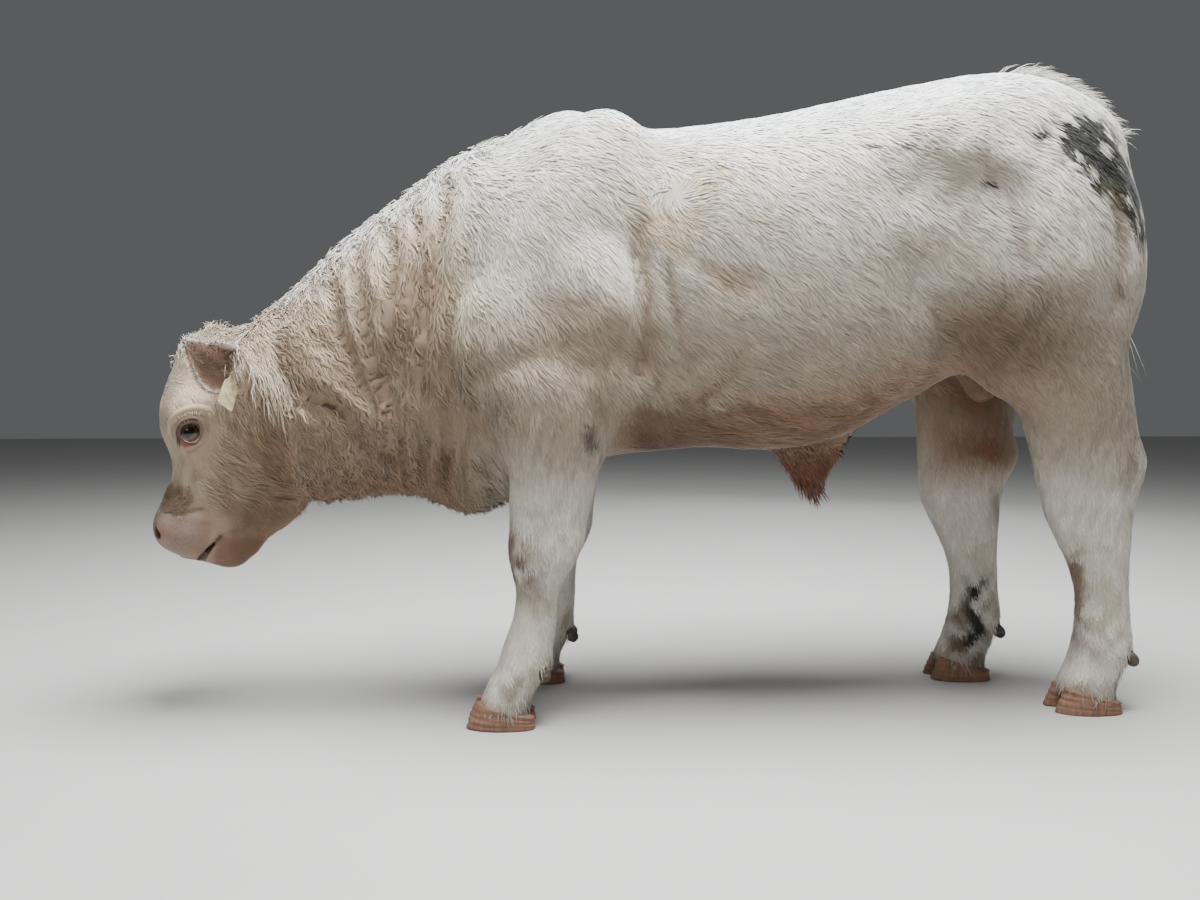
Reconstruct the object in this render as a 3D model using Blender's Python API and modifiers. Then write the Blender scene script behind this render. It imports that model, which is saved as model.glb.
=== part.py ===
"""A young polled Charolais bull, life size, standing with its head lowered.

Metres, +Z up. The head points along -X and the bull's left side is -Y. The body is one smooth form,
described by swept sections and muscle masses that blend into each other, and it is parted into its
named pieces with cuts 0.3 mm wide. All eight hooves stand on small flats at one level.
"""

import math

import bmesh
import bpy
import numpy as np
from mathutils import Matrix, Vector

# Driving sizes
WITHERS = 1.165  # height of the withers
CHEST_FLOOR = 0.49  # height of the chest behind the elbow
FORE_STANCE = 0.150  # fore hoof centres, each side of the middle
HIND_STANCE = 0.120  # hind hoof centres, each side of the middle
EYE_RADIUS = 0.0215
TAG_SEAT = 0.048  # along the ear
TAG_LIFT = 0.0086  # of the plate over the ear's middle line
TAG_DOWN = Vector((-0.06, -0.55, -0.83)).normalized()
HOOF_LENGTH = 0.118
HOOF_FRONT = 0.050  # height of the hoof wall at the toe
HOOF_HEEL = 0.020  # height of the hoof wall at the heel
GAP = 0.0003  # between pieces that touch
HEAD_TRIANGLES = 1700
NECK_TRIANGLES = 15200  # of the whole body, of which the neck keeps its part
BODY_TRIANGLES = 6700

# Frame of the head: along the face from the poll to the muzzle, out of the forehead, and across
POLL = Vector((-0.735, -0.005, 0.700))
FACE_LEAN = math.radians(12.0)  # the face from the plumb line
HEAD_TURN = math.radians(18.0)  # the head towards its left
FACE = Matrix.Rotation(HEAD_TURN, 3, "Z") @ Vector((-math.sin(FACE_LEAN), 0.0, -math.cos(FACE_LEAN)))
BROW = Matrix.Rotation(HEAD_TURN, 3, "Z") @ Vector((-math.cos(FACE_LEAN), 0.0, math.sin(FACE_LEAN)))
ACROSS = FACE.cross(BROW)  # towards the bull's right
RIGHT = Vector((0.0, 1.0, 0.0))
UP = Vector((0.0, 0.0, 1.0))

EYE_SEAT = (0.168, 0.071, 0.020)  # along the face, across, out of the forehead

COLOURS = {
    "coat": (0.80, 0.72, 0.62),
    "horn": (0.52, 0.25, 0.15),
    "dewclaw": (0.16, 0.14, 0.12),
    "eye": (0.03, 0.02, 0.015),
    "tag": (0.78, 0.68, 0.36),
}


def head_point(along, across, out):
    """A place on the head, in the model's frame."""
    return POLL + FACE * along + ACROSS * across + BROW * out


# Smooth fields: negative inside, about a distance near the surface


class Loft:
    """A form of changing section across a straight axis.

    Each station is (x, y, z, side, up, down, power): a centre, the reach of the section to either
    side, upward and downward, and the power of its superellipse.
    """

    hollow = False

    def __init__(self, stations, axis, up, blend, samples=160):
        self.blend = blend
        self.axis = np.array(Vector(axis).normalized())
        side = Vector(up).cross(Vector(axis)).normalized()
        self.side = np.array(side)
        self.up = np.array(Vector(axis).cross(side).normalized())
        rows = self.smooth_rows(np.array(stations, float), samples)
        self.place = rows[:, :3] @ self.axis
        if self.place[0] > self.place[-1]:
            rows = rows[::-1]
            self.place = self.place[::-1]
        self.rows = rows

    @staticmethod
    def smooth_rows(table, samples):
        """Catmull-Rom rows through the stations, evenly spread."""
        padded = np.vstack([2 * table[0] - table[1], table, 2 * table[-1] - table[-2]])
        places = np.linspace(0, len(table) - 1 - 1e-9, samples)
        index = places.astype(int)
        t = (places - index)[:, None]
        a, b, c, d = (padded[index + k] for k in range(4))
        bend = (2 * a - 5 * b + 4 * c - d) * t**2 + (3 * b - a - 3 * c + d) * t**3
        return 0.5 * (2 * b + (c - a) * t + bend)

    def field(self, points):
        where = points @ self.axis
        held = np.clip(where, self.place[0], self.place[-1])
        rows = [np.interp(held, self.place, self.rows[:, k]) for k in range(7)]
        offset = points - np.stack(rows[:3], axis=1)
        across = np.abs(offset @ self.side)
        rise = offset @ self.up
        height = np.where(rise > 0, rows[4], rows[5])
        power = rows[6]
        ratio = ((across / rows[3]) ** power + (np.abs(rise) / height) ** power) ** (1 / power)
        reach = np.sqrt(across**2 + rise**2)
        least = -np.minimum(rows[3], height)
        flat = np.where(ratio > 1e-6, reach * (1 - 1 / np.maximum(ratio, 1e-6)), least)
        flat = np.maximum(flat, least)
        past = np.abs(where - held)
        beyond = np.sqrt(np.maximum(flat, 0) ** 2 + past**2) + np.minimum(flat, 0) * 0.2
        return np.where(past > 0, beyond, flat)

    def rough(self, bm, around=20, step=4):
        """Adds a plain loft of the sections to a bmesh."""
        rings = []
        for row in self.rows[::step]:
            ring = []
            for k in range(around):
                angle = 2 * math.pi * k / around
                c, s = math.cos(angle), math.sin(angle)
                height = row[4] if s > 0 else row[5]
                x = row[3] * math.copysign(abs(c) ** (2 / row[6]), c)
                y = height * math.copysign(abs(s) ** (2 / row[6]), s)
                ring.append(bm.verts.new(row[:3] + self.side * x + self.up * y))
            rings.append(ring)
        for first, second in zip(rings, rings[1:]):
            for k in range(around):
                n = (k + 1) % around
                bm.faces.new((first[k], first[n], second[n], second[k]))
        bm.faces.new(rings[0])
        bm.faces.new(rings[-1])


class Mass:
    """A rounded muscle or pad: an ellipsoid with its own axes, added to the form or hollowed out of it."""

    def __init__(self, centre, radii, axes, blend, hollow=False):
        self.blend = blend
        self.hollow = hollow
        self.centre = np.array(centre, float)
        self.radii = np.array(radii, float)
        self.axes = np.array([Vector(axis).normalized() for axis in axes], float)

    def field(self, points):
        local = (points - self.centre) @ self.axes.T
        k0 = np.linalg.norm(local / self.radii, axis=1)
        k1 = np.linalg.norm(local / self.radii**2, axis=1)
        return np.where(k1 > 1e-9, k0 * (k0 - 1) / np.maximum(k1, 1e-9), -self.radii.min())

    def rough(self, bm):
        turn = Matrix(self.axes.tolist()).transposed().to_4x4()
        place = Matrix.Translation(self.centre) @ turn @ Matrix.Diagonal((*self.radii, 1))
        bmesh.ops.create_uvsphere(bm, u_segments=20, v_segments=12, radius=1, matrix=place)


class Fold:
    """A crease of both sides along a line given in x and z, or a swelling if its depth is negative."""

    def __init__(self, line, depth, width, inner=0.03):
        self.line = Loft.smooth_rows(np.array(line, float), 12)
        self.depth = depth
        self.width = width
        self.inner = inner

    def relief(self, points):
        reach = 3 * self.width
        low = self.line.min(axis=0) - reach
        high = self.line.max(axis=0) + reach
        everywhere = points[:, (0, 2)]
        near = np.all((everywhere > low) & (everywhere < high), axis=1)
        result = np.zeros(len(points))
        if not near.any():
            return result
        flat = everywhere[near]
        nearest = np.full(len(flat), 1e9)
        first, last = self.line[0], self.line[-1]
        for a, b in zip(self.line, self.line[1:]):
            along = b - a
            share = np.clip((flat - a) @ along / (along @ along), 0, 1)
            nearest = np.minimum(nearest, np.linalg.norm(flat - a - share[:, None] * along, axis=1))
        for end in (first, last):
            nearest = nearest + np.maximum(0, 0.02 - np.linalg.norm(flat - end, axis=1)) * 0.6
        side = np.clip((np.abs(points[near, 1]) - self.inner) / 0.04, 0, 1)
        result[near] = self.depth * np.exp(-((nearest / self.width) ** 2)) * side
        return result


def upright(lean=0.0, splay=0.0):
    """Axes of a mass whose long axis is upright, leaned back and splayed out by so many degrees."""
    turn = Matrix.Rotation(math.radians(lean), 3, "Y") @ Matrix.Rotation(math.radians(splay), 3, "X")
    return [turn.col[i].copy() for i in range(3)]


def head_mass(along, across, out, radii, blend, lean=0.0, hollow=False):
    """A mass whose axes are the head's: along the face, across it, and out of it."""
    turn = Matrix.Rotation(math.radians(lean), 3, ACROSS)
    return Mass(head_point(along, across, out), radii, (turn @ FACE, ACROSS, turn @ BROW), blend, hollow)


def trunk_shapes():
    """The barrel, the neck, the dewlap, the sheath and the root of the tail."""
    barrel = [
        (-0.285, 0, 0.76, 0.040, 0.10, 0.16, 2.0),
        (-0.235, 0, 0.77, 0.105, 0.20, 0.24, 2.0),
        (-0.160, 0, 0.79, 0.140, 0.31, 0.29, 2.1),
        (-0.080, 0, 0.80, 0.165, WITHERS - 0.805, 0.80 - CHEST_FLOOR, 2.1),
        (0.000, 0, 0.80, 0.190, WITHERS - 0.815, 0.80 - CHEST_FLOOR, 2.1),
        (0.080, 0, 0.81, 0.218, 0.316, 0.315, 2.2),
        (0.200, 0, 0.82, 0.252, 0.312, 0.315, 2.3),
        (0.330, 0, 0.82, 0.272, 0.332, 0.320, 2.3),
        (0.450, 0, 0.83, 0.270, 0.348, 0.312, 2.4),
        (0.570, 0, 0.87, 0.252, 0.335, 0.290, 2.5),
        (0.700, 0, 0.91, 0.216, 0.318, 0.260, 2.5),
        (0.820, 0, 0.94, 0.180, 0.288, 0.240, 2.4),
        (0.920, 0, 0.94, 0.132, 0.240, 0.200, 2.2),
        (0.985, 0, 0.93, 0.070, 0.140, 0.130, 2.0),
    ]
    neck = [
        (-0.020, 0, 0.830, 0.150, 0.290, 0.26, 2.0),
        (-0.120, 0, 0.795, 0.158, 0.322, 0.27, 2.0),
        (-0.250, 0, 0.745, 0.142, 0.295, 0.26, 2.0),
        (-0.420, -0.002, 0.675, 0.118, 0.243, 0.245, 2.0),
        (-0.560, -0.006, 0.620, 0.102, 0.180, 0.215, 2.0),
        (-0.660, -0.012, 0.585, 0.090, 0.140, 0.170, 2.0),
        (-0.710, -0.018, 0.565, 0.070, 0.100, 0.120, 2.0),
    ]
    dewlap = [
        (-0.560, 0, 0.440, 0.030, 0.05, 0.040, 2.0),
        (-0.480, 0, 0.455, 0.034, 0.06, 0.042, 2.0),
        (-0.400, 0, 0.465, 0.036, 0.07, 0.045, 2.0),
        (-0.335, 0, 0.470, 0.046, 0.08, 0.070, 2.0),
        (-0.270, 0, 0.480, 0.060, 0.10, 0.105, 2.0),
        (-0.205, 0, 0.490, 0.066, 0.10, 0.100, 2.0),
        (-0.110, 0, 0.530, 0.070, 0.10, 0.080, 2.0),
        (-0.010, 0, 0.570, 0.080, 0.10, 0.070, 2.0),
    ]
    sheath = [
        (0.440, 0, 0.560, 0.060, 0.110, 0.080, 2.0),
        (0.432, 0, 0.505, 0.042, 0.088, 0.060, 2.0),
        (0.424, 0, 0.465, 0.030, 0.052, 0.042, 2.0),
        (0.420, 0, 0.438, 0.022, 0.030, 0.030, 2.0),
        (0.422, 0, 0.422, 0.012, 0.016, 0.016, 2.0),
    ]
    tail_root = [
        (0.760, 0, 1.165, 0.050, 0.045, 0.040, 2.0),
        (0.860, 0, 1.175, 0.044, 0.046, 0.040, 2.0),
        (0.940, 0, 1.168, 0.037, 0.040, 0.036, 2.0),
        (0.995, 0, 1.135, 0.030, 0.034, 0.034, 2.0),
    ]
    slope = (-0.9335, 0, -0.3585)
    scrotum = Mass((0.770, 0, 0.655), (0.042, 0.040, 0.062), upright(-8), 0.03)
    return [
        scrotum,
        Loft(barrel, (1, 0, 0), UP, 0.05),
        Loft(neck, slope, UP, 0.09),
        Loft(dewlap, (1, 0, 0), UP, 0.05),
        Loft(sheath, UP, (-1, 0, 0), 0.03),
        Loft(tail_root, (1, 0, -0.25), UP, 0.05),
    ]


def shoulder_shapes(side):
    return [
        Mass((-0.060, side * 0.135, 0.900), (0.120, 0.074, 0.250), upright(20, side * 6), 0.06),
        Mass((-0.185, side * 0.130, 0.700), (0.085, 0.080, 0.115), upright(20), 0.07),
        Mass((-0.010, side * 0.172, 0.770), (0.095, 0.072, 0.120), upright(-30), 0.045),
        Mass((-0.095, side * 0.158, 0.612), (0.108, 0.072, 0.125), upright(10), 0.070),
        Mass((0.020, side * 0.160, 0.640), (0.055, 0.055, 0.075), upright(-25), 0.040),
    ]


def skin_folds():
    """Creases of the neck, the shoulder, the flank and the thigh, and lobes of the brisket."""
    return [
        Fold(
            ((-0.287, 1.010), (-0.301, 0.918), (-0.323, 0.820), (-0.338, 0.710), (-0.339, 0.623)),
            0.013, 0.017,
        ),
        Fold(
            ((-0.352, 0.966), (-0.347, 0.885), (-0.359, 0.792), (-0.376, 0.699), (-0.380, 0.623)),
            0.012, 0.015,
        ),
        Fold(
            ((-0.395, 0.938), (-0.391, 0.841), (-0.398, 0.743), (-0.408, 0.656), (-0.400, 0.590)),
            0.012, 0.015,
        ),
        Fold(
            ((-0.461, 0.884), (-0.454, 0.797), (-0.440, 0.710), (-0.425, 0.639), (-0.405, 0.580)),
            0.011, 0.015,
        ),
        Fold(
            ((-0.508, 0.840), (-0.502, 0.786), (-0.486, 0.721), (-0.458, 0.655), (-0.430, 0.595)),
            0.010, 0.015,
        ),
        Fold(
            ((-0.608, 0.710), (-0.604, 0.655), (-0.572, 0.617), (-0.524, 0.595), (-0.486, 0.579)),
            0.011, 0.015,
        ),
        Fold(((-0.485, 0.567), (-0.441, 0.516), (-0.386, 0.482)), 0.009, 0.015),
        Fold(((-0.307, 0.510), (-0.296, 0.453), (-0.296, 0.402)), 0.009, 0.012, 0.0),
        Fold(((-0.262, 0.520), (-0.255, 0.447), (-0.258, 0.390)), 0.009, 0.012, 0.0),
        Fold(((-0.225, 0.500), (-0.214, 0.435), (-0.214, 0.390)), 0.008, 0.012, 0.0),
        Fold(((0.041, 0.880), (0.060, 0.786), (0.066, 0.707), (0.056, 0.654)), 0.009, 0.014),
        Fold(((0.094, 0.850), (0.118, 0.750), (0.143, 0.670)), 0.005, 0.014),
        Fold(
            ((-0.229, 0.622), (-0.192, 0.668), (-0.129, 0.692), (-0.070, 0.700), (-0.012, 0.680)),
            0.003, 0.022, 0.08,
        ),
        Fold(((0.597, 0.752), (0.662, 0.712), (0.727, 0.722), (0.778, 0.784)), 0.007, 0.018, 0.10),
        Fold(((0.778, 0.784), (0.806, 0.860), (0.815, 0.950)), 0.004, 0.022, 0.10),
        Fold(((0.590, 0.780), (0.604, 0.708), (0.611, 0.670)), 0.006, 0.016, 0.10),
        Fold(((0.214, 0.663), (0.183, 0.606), (0.133, 0.603)), 0.004, 0.012, 0.10),
    ]


def haunch_shapes(side):
    return [
        Mass((0.628, side * 0.188, 1.082), (0.062, 0.050, 0.058), upright(0, side * 20), 0.06),
        Mass((0.800, side * 0.108, 1.070), (0.190, 0.106, 0.125), upright(0), 0.08),
        Mass((0.850, side * 0.156, 0.885), (0.150, 0.118, 0.232), upright(-4), 0.05),
        Mass((0.722, side * 0.184, 0.865), (0.125, 0.080, 0.150), upright(-10), 0.06),
        Mass((0.745, side * 0.150, 0.715), (0.085, 0.075, 0.120), upright(-24), 0.06),
        Mass((0.905, side * 0.143, 0.790), (0.085, 0.100, 0.150), upright(6), 0.04),
        Mass((0.930, side * 0.104, 0.900), (0.075, 0.078, 0.200), upright(2), 0.04),
        Mass((0.540, side * 0.285, 1.000), (0.060, 0.030, 0.050), upright(0), 0.06, True),
        Mass((0.560, side * 0.290, 0.760), (0.050, 0.035, 0.120), upright(-12), 0.05, True),
    ]


def fore_leg(side, reach):
    """A fore leg, from inside the upper arm down into the hoof. Reach slides the foot backward."""
    y = side * FORE_STANCE
    stations = [
        (-0.060, y, 0.680, 0.060, 0.085, 0.085, 2.0),
        (-0.085, y, 0.600, 0.073, 0.100, 0.100, 2.1),
        (-0.090, y, 0.520, 0.068, 0.100, 0.098, 2.2),
        (-0.092, y, 0.470, 0.060, 0.085, 0.086, 2.2),
        (-0.098, y, 0.420, 0.054, 0.078, 0.080, 2.3),
        (-0.103, y, 0.375, 0.050, 0.072, 0.074, 2.4),
        (-0.108, y, 0.335, 0.052, 0.070, 0.072, 2.5),
        (-0.113, y, 0.300, 0.049, 0.060, 0.064, 2.4),
        (-0.119, y, 0.270, 0.041, 0.048, 0.051, 2.2),
        (-0.122, y, 0.245, 0.037, 0.042, 0.043, 2.2),
        (-0.129, y, 0.195, 0.036, 0.042, 0.043, 2.2),
        (-0.141, y, 0.150, 0.041, 0.048, 0.047, 2.2),
        (-0.153, y, 0.108, 0.047, 0.053, 0.048, 2.3),
        (-0.171, y, 0.075, 0.048, 0.047, 0.047, 2.4),
        (-0.182, y, 0.045, 0.052, 0.047, 0.048, 2.5),
        (-0.187, y, 0.005, 0.053, 0.047, 0.049, 2.5),
    ]
    rows = [(row[0] + reach * (0.68 - row[2]) / 0.68, *row[1:]) for row in stations]
    return Loft(rows, UP, (1, 0, 0), 0.05)


def hind_leg(side, reach):
    """A hind leg, from inside the thigh down into the hoof. Reach slides the hock and foot forward."""
    y = side * HIND_STANCE
    stations = [
        (0.800, side * 0.150, 0.760, 0.085, 0.120, 0.110, 2.0, 0.20),
        (0.850, side * 0.150, 0.670, 0.085, 0.130, 0.118, 2.0, 0.35),
        (0.892, side * 0.142, 0.590, 0.070, 0.112, 0.112, 2.1, 0.60),
        (0.912, side * 0.134, 0.530, 0.060, 0.110, 0.108, 2.1, 0.75),
        (0.928, side * 0.128, 0.480, 0.053, 0.115, 0.108, 2.2, 0.85),
        (0.932, side * 0.124, 0.425, 0.048, 0.098, 0.096, 2.3, 0.95),
        (0.936, y, 0.380, 0.045, 0.086, 0.084, 2.4, 1.0),
        (0.945, y, 0.335, 0.043, 0.074, 0.072, 2.4, 1.0),
        (0.957, y, 0.290, 0.040, 0.060, 0.061, 2.3, 1.0),
        (0.965, y, 0.240, 0.037, 0.053, 0.053, 2.2, 1.0),
        (0.969, y, 0.180, 0.038, 0.053, 0.053, 2.2, 1.0),
        (0.968, y, 0.130, 0.045, 0.058, 0.056, 2.3, 1.0),
        (0.955, y, 0.088, 0.048, 0.052, 0.054, 2.4, 1.0),
        (0.941, y, 0.050, 0.052, 0.050, 0.054, 2.5, 1.0),
        (0.936, y, 0.005, 0.053, 0.050, 0.054, 2.5, 1.0),
    ]
    return Loft([(row[0] - reach * row[7], *row[1:7]) for row in stations], UP, (1, 0, 0), 0.05)


LEGS = {
    "fore_left": dict(shape=fore_leg, side=-1, reach=0.0, foot=(-0.187, FORE_STANCE)),
    "fore_right": dict(shape=fore_leg, side=1, reach=0.060, foot=(-0.127, FORE_STANCE)),
    "hind_left": dict(shape=hind_leg, side=-1, reach=0.0, foot=(0.936, HIND_STANCE)),
    "hind_right": dict(shape=hind_leg, side=1, reach=0.150, foot=(0.786, HIND_STANCE)),
}


def head_shapes():
    """Skull, jaw, cheeks, brows, muzzle, nostril wings and the roots of the ears."""
    skull = [
        (-0.030, -0.035, 0.045, 0.070, 0.07, 2.0),
        (0.015, -0.035, 0.068, 0.104, 0.11, 2.2),
        (0.069, -0.035, 0.083, 0.117, 0.13, 2.4),
        (0.120, -0.035, 0.088, 0.123, 0.14, 2.4),
        (0.155, -0.038, 0.086, 0.121, 0.14, 2.4),
        (0.190, -0.040, 0.076, 0.110, 0.13, 2.2),
        (0.223, -0.045, 0.063, 0.094, 0.12, 2.1),
        (0.255, -0.048, 0.056, 0.088, 0.11, 2.1),
        (0.300, -0.048, 0.054, 0.095, 0.095, 2.1),
        (0.340, -0.048, 0.062, 0.100, 0.080, 2.3),
        (0.370, -0.048, 0.062, 0.090, 0.070, 2.3),
        (0.392, -0.050, 0.052, 0.074, 0.055, 2.3),
        (0.407, -0.052, 0.030, 0.045, 0.034, 2.0),
    ]
    rows = [(*head_point(a, 0, h), side, up, down, power) for a, h, side, up, down, power in skull]
    shapes = [Loft(rows, FACE, BROW, 0.04)]
    jaw = [
        (0.398, -0.085, 0.020, 0.020, 0.020),
        (0.380, -0.105, 0.038, 0.034, 0.034),
        (0.345, -0.125, 0.042, 0.040, 0.034),
        (0.300, -0.155, 0.048, 0.050, 0.046),
        (0.240, -0.180, 0.056, 0.060, 0.050),
        (0.170, -0.195, 0.058, 0.075, 0.045),
        (0.110, -0.190, 0.050, 0.075, 0.040),
    ]
    rows = [(*head_point(a, 0, h), side, up, down, 2.2) for a, h, side, up, down in jaw]
    shapes.append(Loft(rows, FACE, BROW, 0.03))
    shapes.append(head_mass(0.360, 0.0, 0.000, (0.040, 0.070, 0.050), 0.03))
    shapes.append(head_mass(0.384, 0.0, -0.096, (0.030, 0.048, 0.034), 0.02))
    for side in (-1, 1):
        shapes.append(head_mass(0.165, side * 0.062, -0.110, (0.085, 0.034, 0.075), 0.05, -20))
        shapes.append(head_mass(0.140, side * 0.068, 0.028, (0.042, 0.028, 0.034), 0.04))
        shapes.append(head_mass(0.230, side * 0.048, -0.012, (0.065, 0.018, 0.026), 0.04, -10))
        shapes.append(head_mass(0.352, side * 0.046, 0.028, (0.024, 0.020, 0.022), 0.02))
        shapes.append(head_mass(0.058, side * 0.083, -0.056, (0.030, 0.036, 0.030), 0.03))
        shapes.append(head_mass(0.205, side * 0.098, 0.030, (0.030, 0.014, 0.016), 0.03, 0, True))
    return shapes


def build_field():
    """All the shapes of the body, by group."""
    shapes = {"trunk": trunk_shapes(), "head": head_shapes()}
    shapes["shoulders"] = shoulder_shapes(-1) + shoulder_shapes(1)
    between = Mass((1.004, 0, 0.830), (0.046, 0.020, 0.200), upright(0), 0.03, True)
    shapes["haunches"] = haunch_shapes(-1) + haunch_shapes(1) + [between]
    for name, leg in LEGS.items():
        shapes[name] = [leg["shape"](leg["side"], leg["reach"])]
    return shapes


FOLDS = skin_folds()


def smooth_least(a, b, blend):
    near = np.maximum(blend - np.abs(a - b), 0) / blend
    return np.minimum(a, b) - near * near * blend / 4


def body_field(shapes, points):
    total = None
    for hollow in (False, True):
        for group in shapes.values():
            for shape in group:
                if shape.hollow != hollow:
                    continue
                value = shape.field(points)
                if hollow:
                    total = -smooth_least(-total, value, shape.blend)
                else:
                    total = value if total is None else smooth_least(total, value, shape.blend)
    for fold in FOLDS:
        total = total + fold.relief(points)
    return total


def settle(mesh, field, rounds=3, reach=0.001):
    """Moves a mesh's points onto the zero of a field, along its slope."""
    points = read_points(mesh)
    for _ in range(rounds):
        value = field(points)
        slope = np.empty_like(points)
        for axis in range(3):
            moved = points.copy()
            moved[:, axis] += reach
            slope[:, axis] = (field(moved) - value) / reach
        steep = np.maximum(np.sum(slope**2, axis=1), 0.05)
        step = slope * (value / steep)[:, None]
        length = np.linalg.norm(step, axis=1)
        points -= step * np.minimum(1, 0.02 / np.maximum(length, 1e-9))[:, None]
    write_points(mesh, points)


def read_points(mesh):
    points = np.empty(len(mesh.vertices) * 3, np.float32)
    mesh.vertices.foreach_get("co", points)
    return points.reshape(-1, 3).astype(np.float64)


def write_points(mesh, points):
    mesh.vertices.foreach_set("co", points.astype(np.float32).ravel())
    mesh.update()


def new_object(name, mesh, collection):
    obj = bpy.data.objects.new(name, mesh)
    collection.objects.link(obj)
    return obj


def baked(obj):
    """Replaces an object's mesh by its evaluated one, and drops its modifiers."""
    graph = bpy.context.evaluated_depsgraph_get()
    mesh = bpy.data.meshes.new_from_object(obj.evaluated_get(graph))
    old = obj.data
    obj.modifiers.clear()
    obj.data = mesh
    bpy.data.meshes.remove(old)
    return obj


def clay(name, groups, shapes, voxel, collection):
    """A fine closed mesh of some of the shapes, settled on the whole body's field."""
    bm = bmesh.new()
    for group in groups.values():
        for shape in group:
            if not shape.hollow:
                shape.rough(bm)
    bmesh.ops.recalc_face_normals(bm, faces=bm.faces)
    mesh = bpy.data.meshes.new(name)
    bm.to_mesh(mesh)
    bm.free()
    obj = new_object(name, mesh, collection)
    remesh = obj.modifiers.new("remesh", "REMESH")
    remesh.mode = "VOXEL"
    remesh.voxel_size = voxel
    smooth = obj.modifiers.new("smooth", "SMOOTH")
    smooth.factor = 0.5
    smooth.iterations = 6
    baked(obj)
    settle(obj.data, lambda points: body_field(shapes, points))
    relax = obj.modifiers.new("relax", "SMOOTH")
    relax.factor = 0.5
    relax.iterations = 3
    baked(obj)
    settle(obj.data, lambda points: body_field(shapes, points), rounds=2)
    return obj


def thinned(obj, triangles):
    """Fewer triangles, most of them where the form bends."""
    obj.data.calc_loop_triangles()
    thin = obj.modifiers.new("thin", "DECIMATE")
    thin.ratio = triangles / len(obj.data.loop_triangles)
    return baked(obj)


def combined(obj, other, operation, solver="EXACT"):
    """Applies one Boolean of another object and removes that object."""
    step = obj.modifiers.new("shape", "BOOLEAN")
    step.operation = operation
    step.solver = solver
    step.object = other
    baked(obj)
    bpy.data.objects.remove(other)
    return obj


def copied(obj, name, collection):
    return new_object(name, obj.data.copy(), collection)


def largest_shell(obj):
    """Keeps only the largest closed surface of a mesh."""
    bm = bmesh.new()
    bm.from_mesh(obj.data)
    left = set(bm.verts)
    shells = []
    while left:
        stack = [left.pop()]
        shell = list(stack)
        while stack:
            for edge in stack.pop().link_edges:
                for vert in edge.verts:
                    if vert in left:
                        left.remove(vert)
                        stack.append(vert)
                        shell.append(vert)
        shells.append(shell)
    shells.sort(key=len)
    for shell in shells[:-1]:
        bmesh.ops.delete(bm, geom=shell, context="VERTS")
    bm.to_mesh(obj.data)
    bm.free()
    return obj


def grown_outline(outline, grow):
    """Moves each side of a counter-clockwise outline outward."""
    places = []
    count = len(outline)
    for i in range(count):
        before, here, after = (Vector(outline[(i + k) % count]) for k in (-1, 0, 1))
        one = (here - before).normalized()
        two = (after - here).normalized()
        n1 = Vector((one.y, -one.x))
        n2 = Vector((two.y, -two.x))
        places.append(here + (n1 + n2) * (grow / (1 + n1.dot(n2))))
    return places


def prism(name, outline, near, far, collection, grow=0.0):
    """A block whose outline is given in x and z, between two places across."""
    places = grown_outline(outline, grow)
    bm = bmesh.new()
    first = [bm.verts.new((p.x, near - grow, p.y)) for p in places]
    second = [bm.verts.new((p.x, far + grow, p.y)) for p in places]
    bm.faces.new(first)
    bm.faces.new(second)
    for i in range(len(places)):
        k = (i + 1) % len(places)
        bm.faces.new((first[i], first[k], second[k], second[i]))
    bmesh.ops.recalc_face_normals(bm, faces=bm.faces)
    mesh = bpy.data.meshes.new(name)
    bm.to_mesh(mesh)
    bm.free()
    return new_object(name, mesh, collection)


def halved(obj, point, normal):
    """Keeps what lies behind a plane and closes the cut."""
    bm = bmesh.new()
    bm.from_mesh(obj.data)
    geom = bm.verts[:] + bm.edges[:] + bm.faces[:]
    cut = bmesh.ops.bisect_plane(bm, geom=geom, plane_co=point, plane_no=normal, clear_outer=True, dist=1e-6)
    rim = [item for item in cut["geom_cut"] if isinstance(item, bmesh.types.BMEdge)]
    filled = bmesh.ops.holes_fill(bm, edges=rim, sides=0)
    bmesh.ops.triangulate(bm, faces=filled["faces"], quad_method="BEAUTY", ngon_method="BEAUTY")
    bmesh.ops.dissolve_degenerate(bm, edges=bm.edges, dist=1e-5)
    bmesh.ops.recalc_face_normals(bm, faces=bm.faces)
    bm.to_mesh(obj.data)
    bm.free()
    return obj


def part_off(obj, name, outline, near, far, collection):
    """Parts the piece inside a block from the rest, a gap apart."""
    piece = copied(obj, name, collection)
    block = prism("block", outline, near, far, collection)
    combined(piece, block, "INTERSECT")
    room = prism("room", outline, near, far, collection, GAP)
    combined(obj, room, "DIFFERENCE")
    largest_shell(piece)
    largest_shell(obj)
    return piece


def skin_rings(name, rings, collection, closed_ends=True):
    """A closed surface through rings of equal count."""
    bm = bmesh.new()
    rows = [[bm.verts.new(place) for place in ring] for ring in rings]
    for first, second in zip(rows, rows[1:]):
        count = len(first)
        for i in range(count):
            k = (i + 1) % count
            bm.faces.new((first[i], first[k], second[k], second[i]))
    if closed_ends:
        bm.faces.new(rows[0])
        bm.faces.new(rows[-1])
    bmesh.ops.recalc_face_normals(bm, faces=bm.faces)
    mesh = bpy.data.meshes.new(name)
    bm.to_mesh(mesh)
    bm.free()
    return new_object(name, mesh, collection)


def ball(name, centre, radius, collection):
    bm = bmesh.new()
    place = Matrix.Translation(centre)
    bmesh.ops.create_uvsphere(bm, u_segments=14, v_segments=9, radius=radius, matrix=place)
    mesh = bpy.data.meshes.new(name)
    bm.to_mesh(mesh)
    bm.free()
    return new_object(name, mesh, collection)


def coronet(x, foot_x):
    """Height of the hoof's upper edge: high at the toe, low at the heel."""
    share = (x - (foot_x - HOOF_LENGTH / 2)) / HOOF_LENGTH
    return HOOF_FRONT + (HOOF_HEEL - HOOF_FRONT) * share


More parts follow.
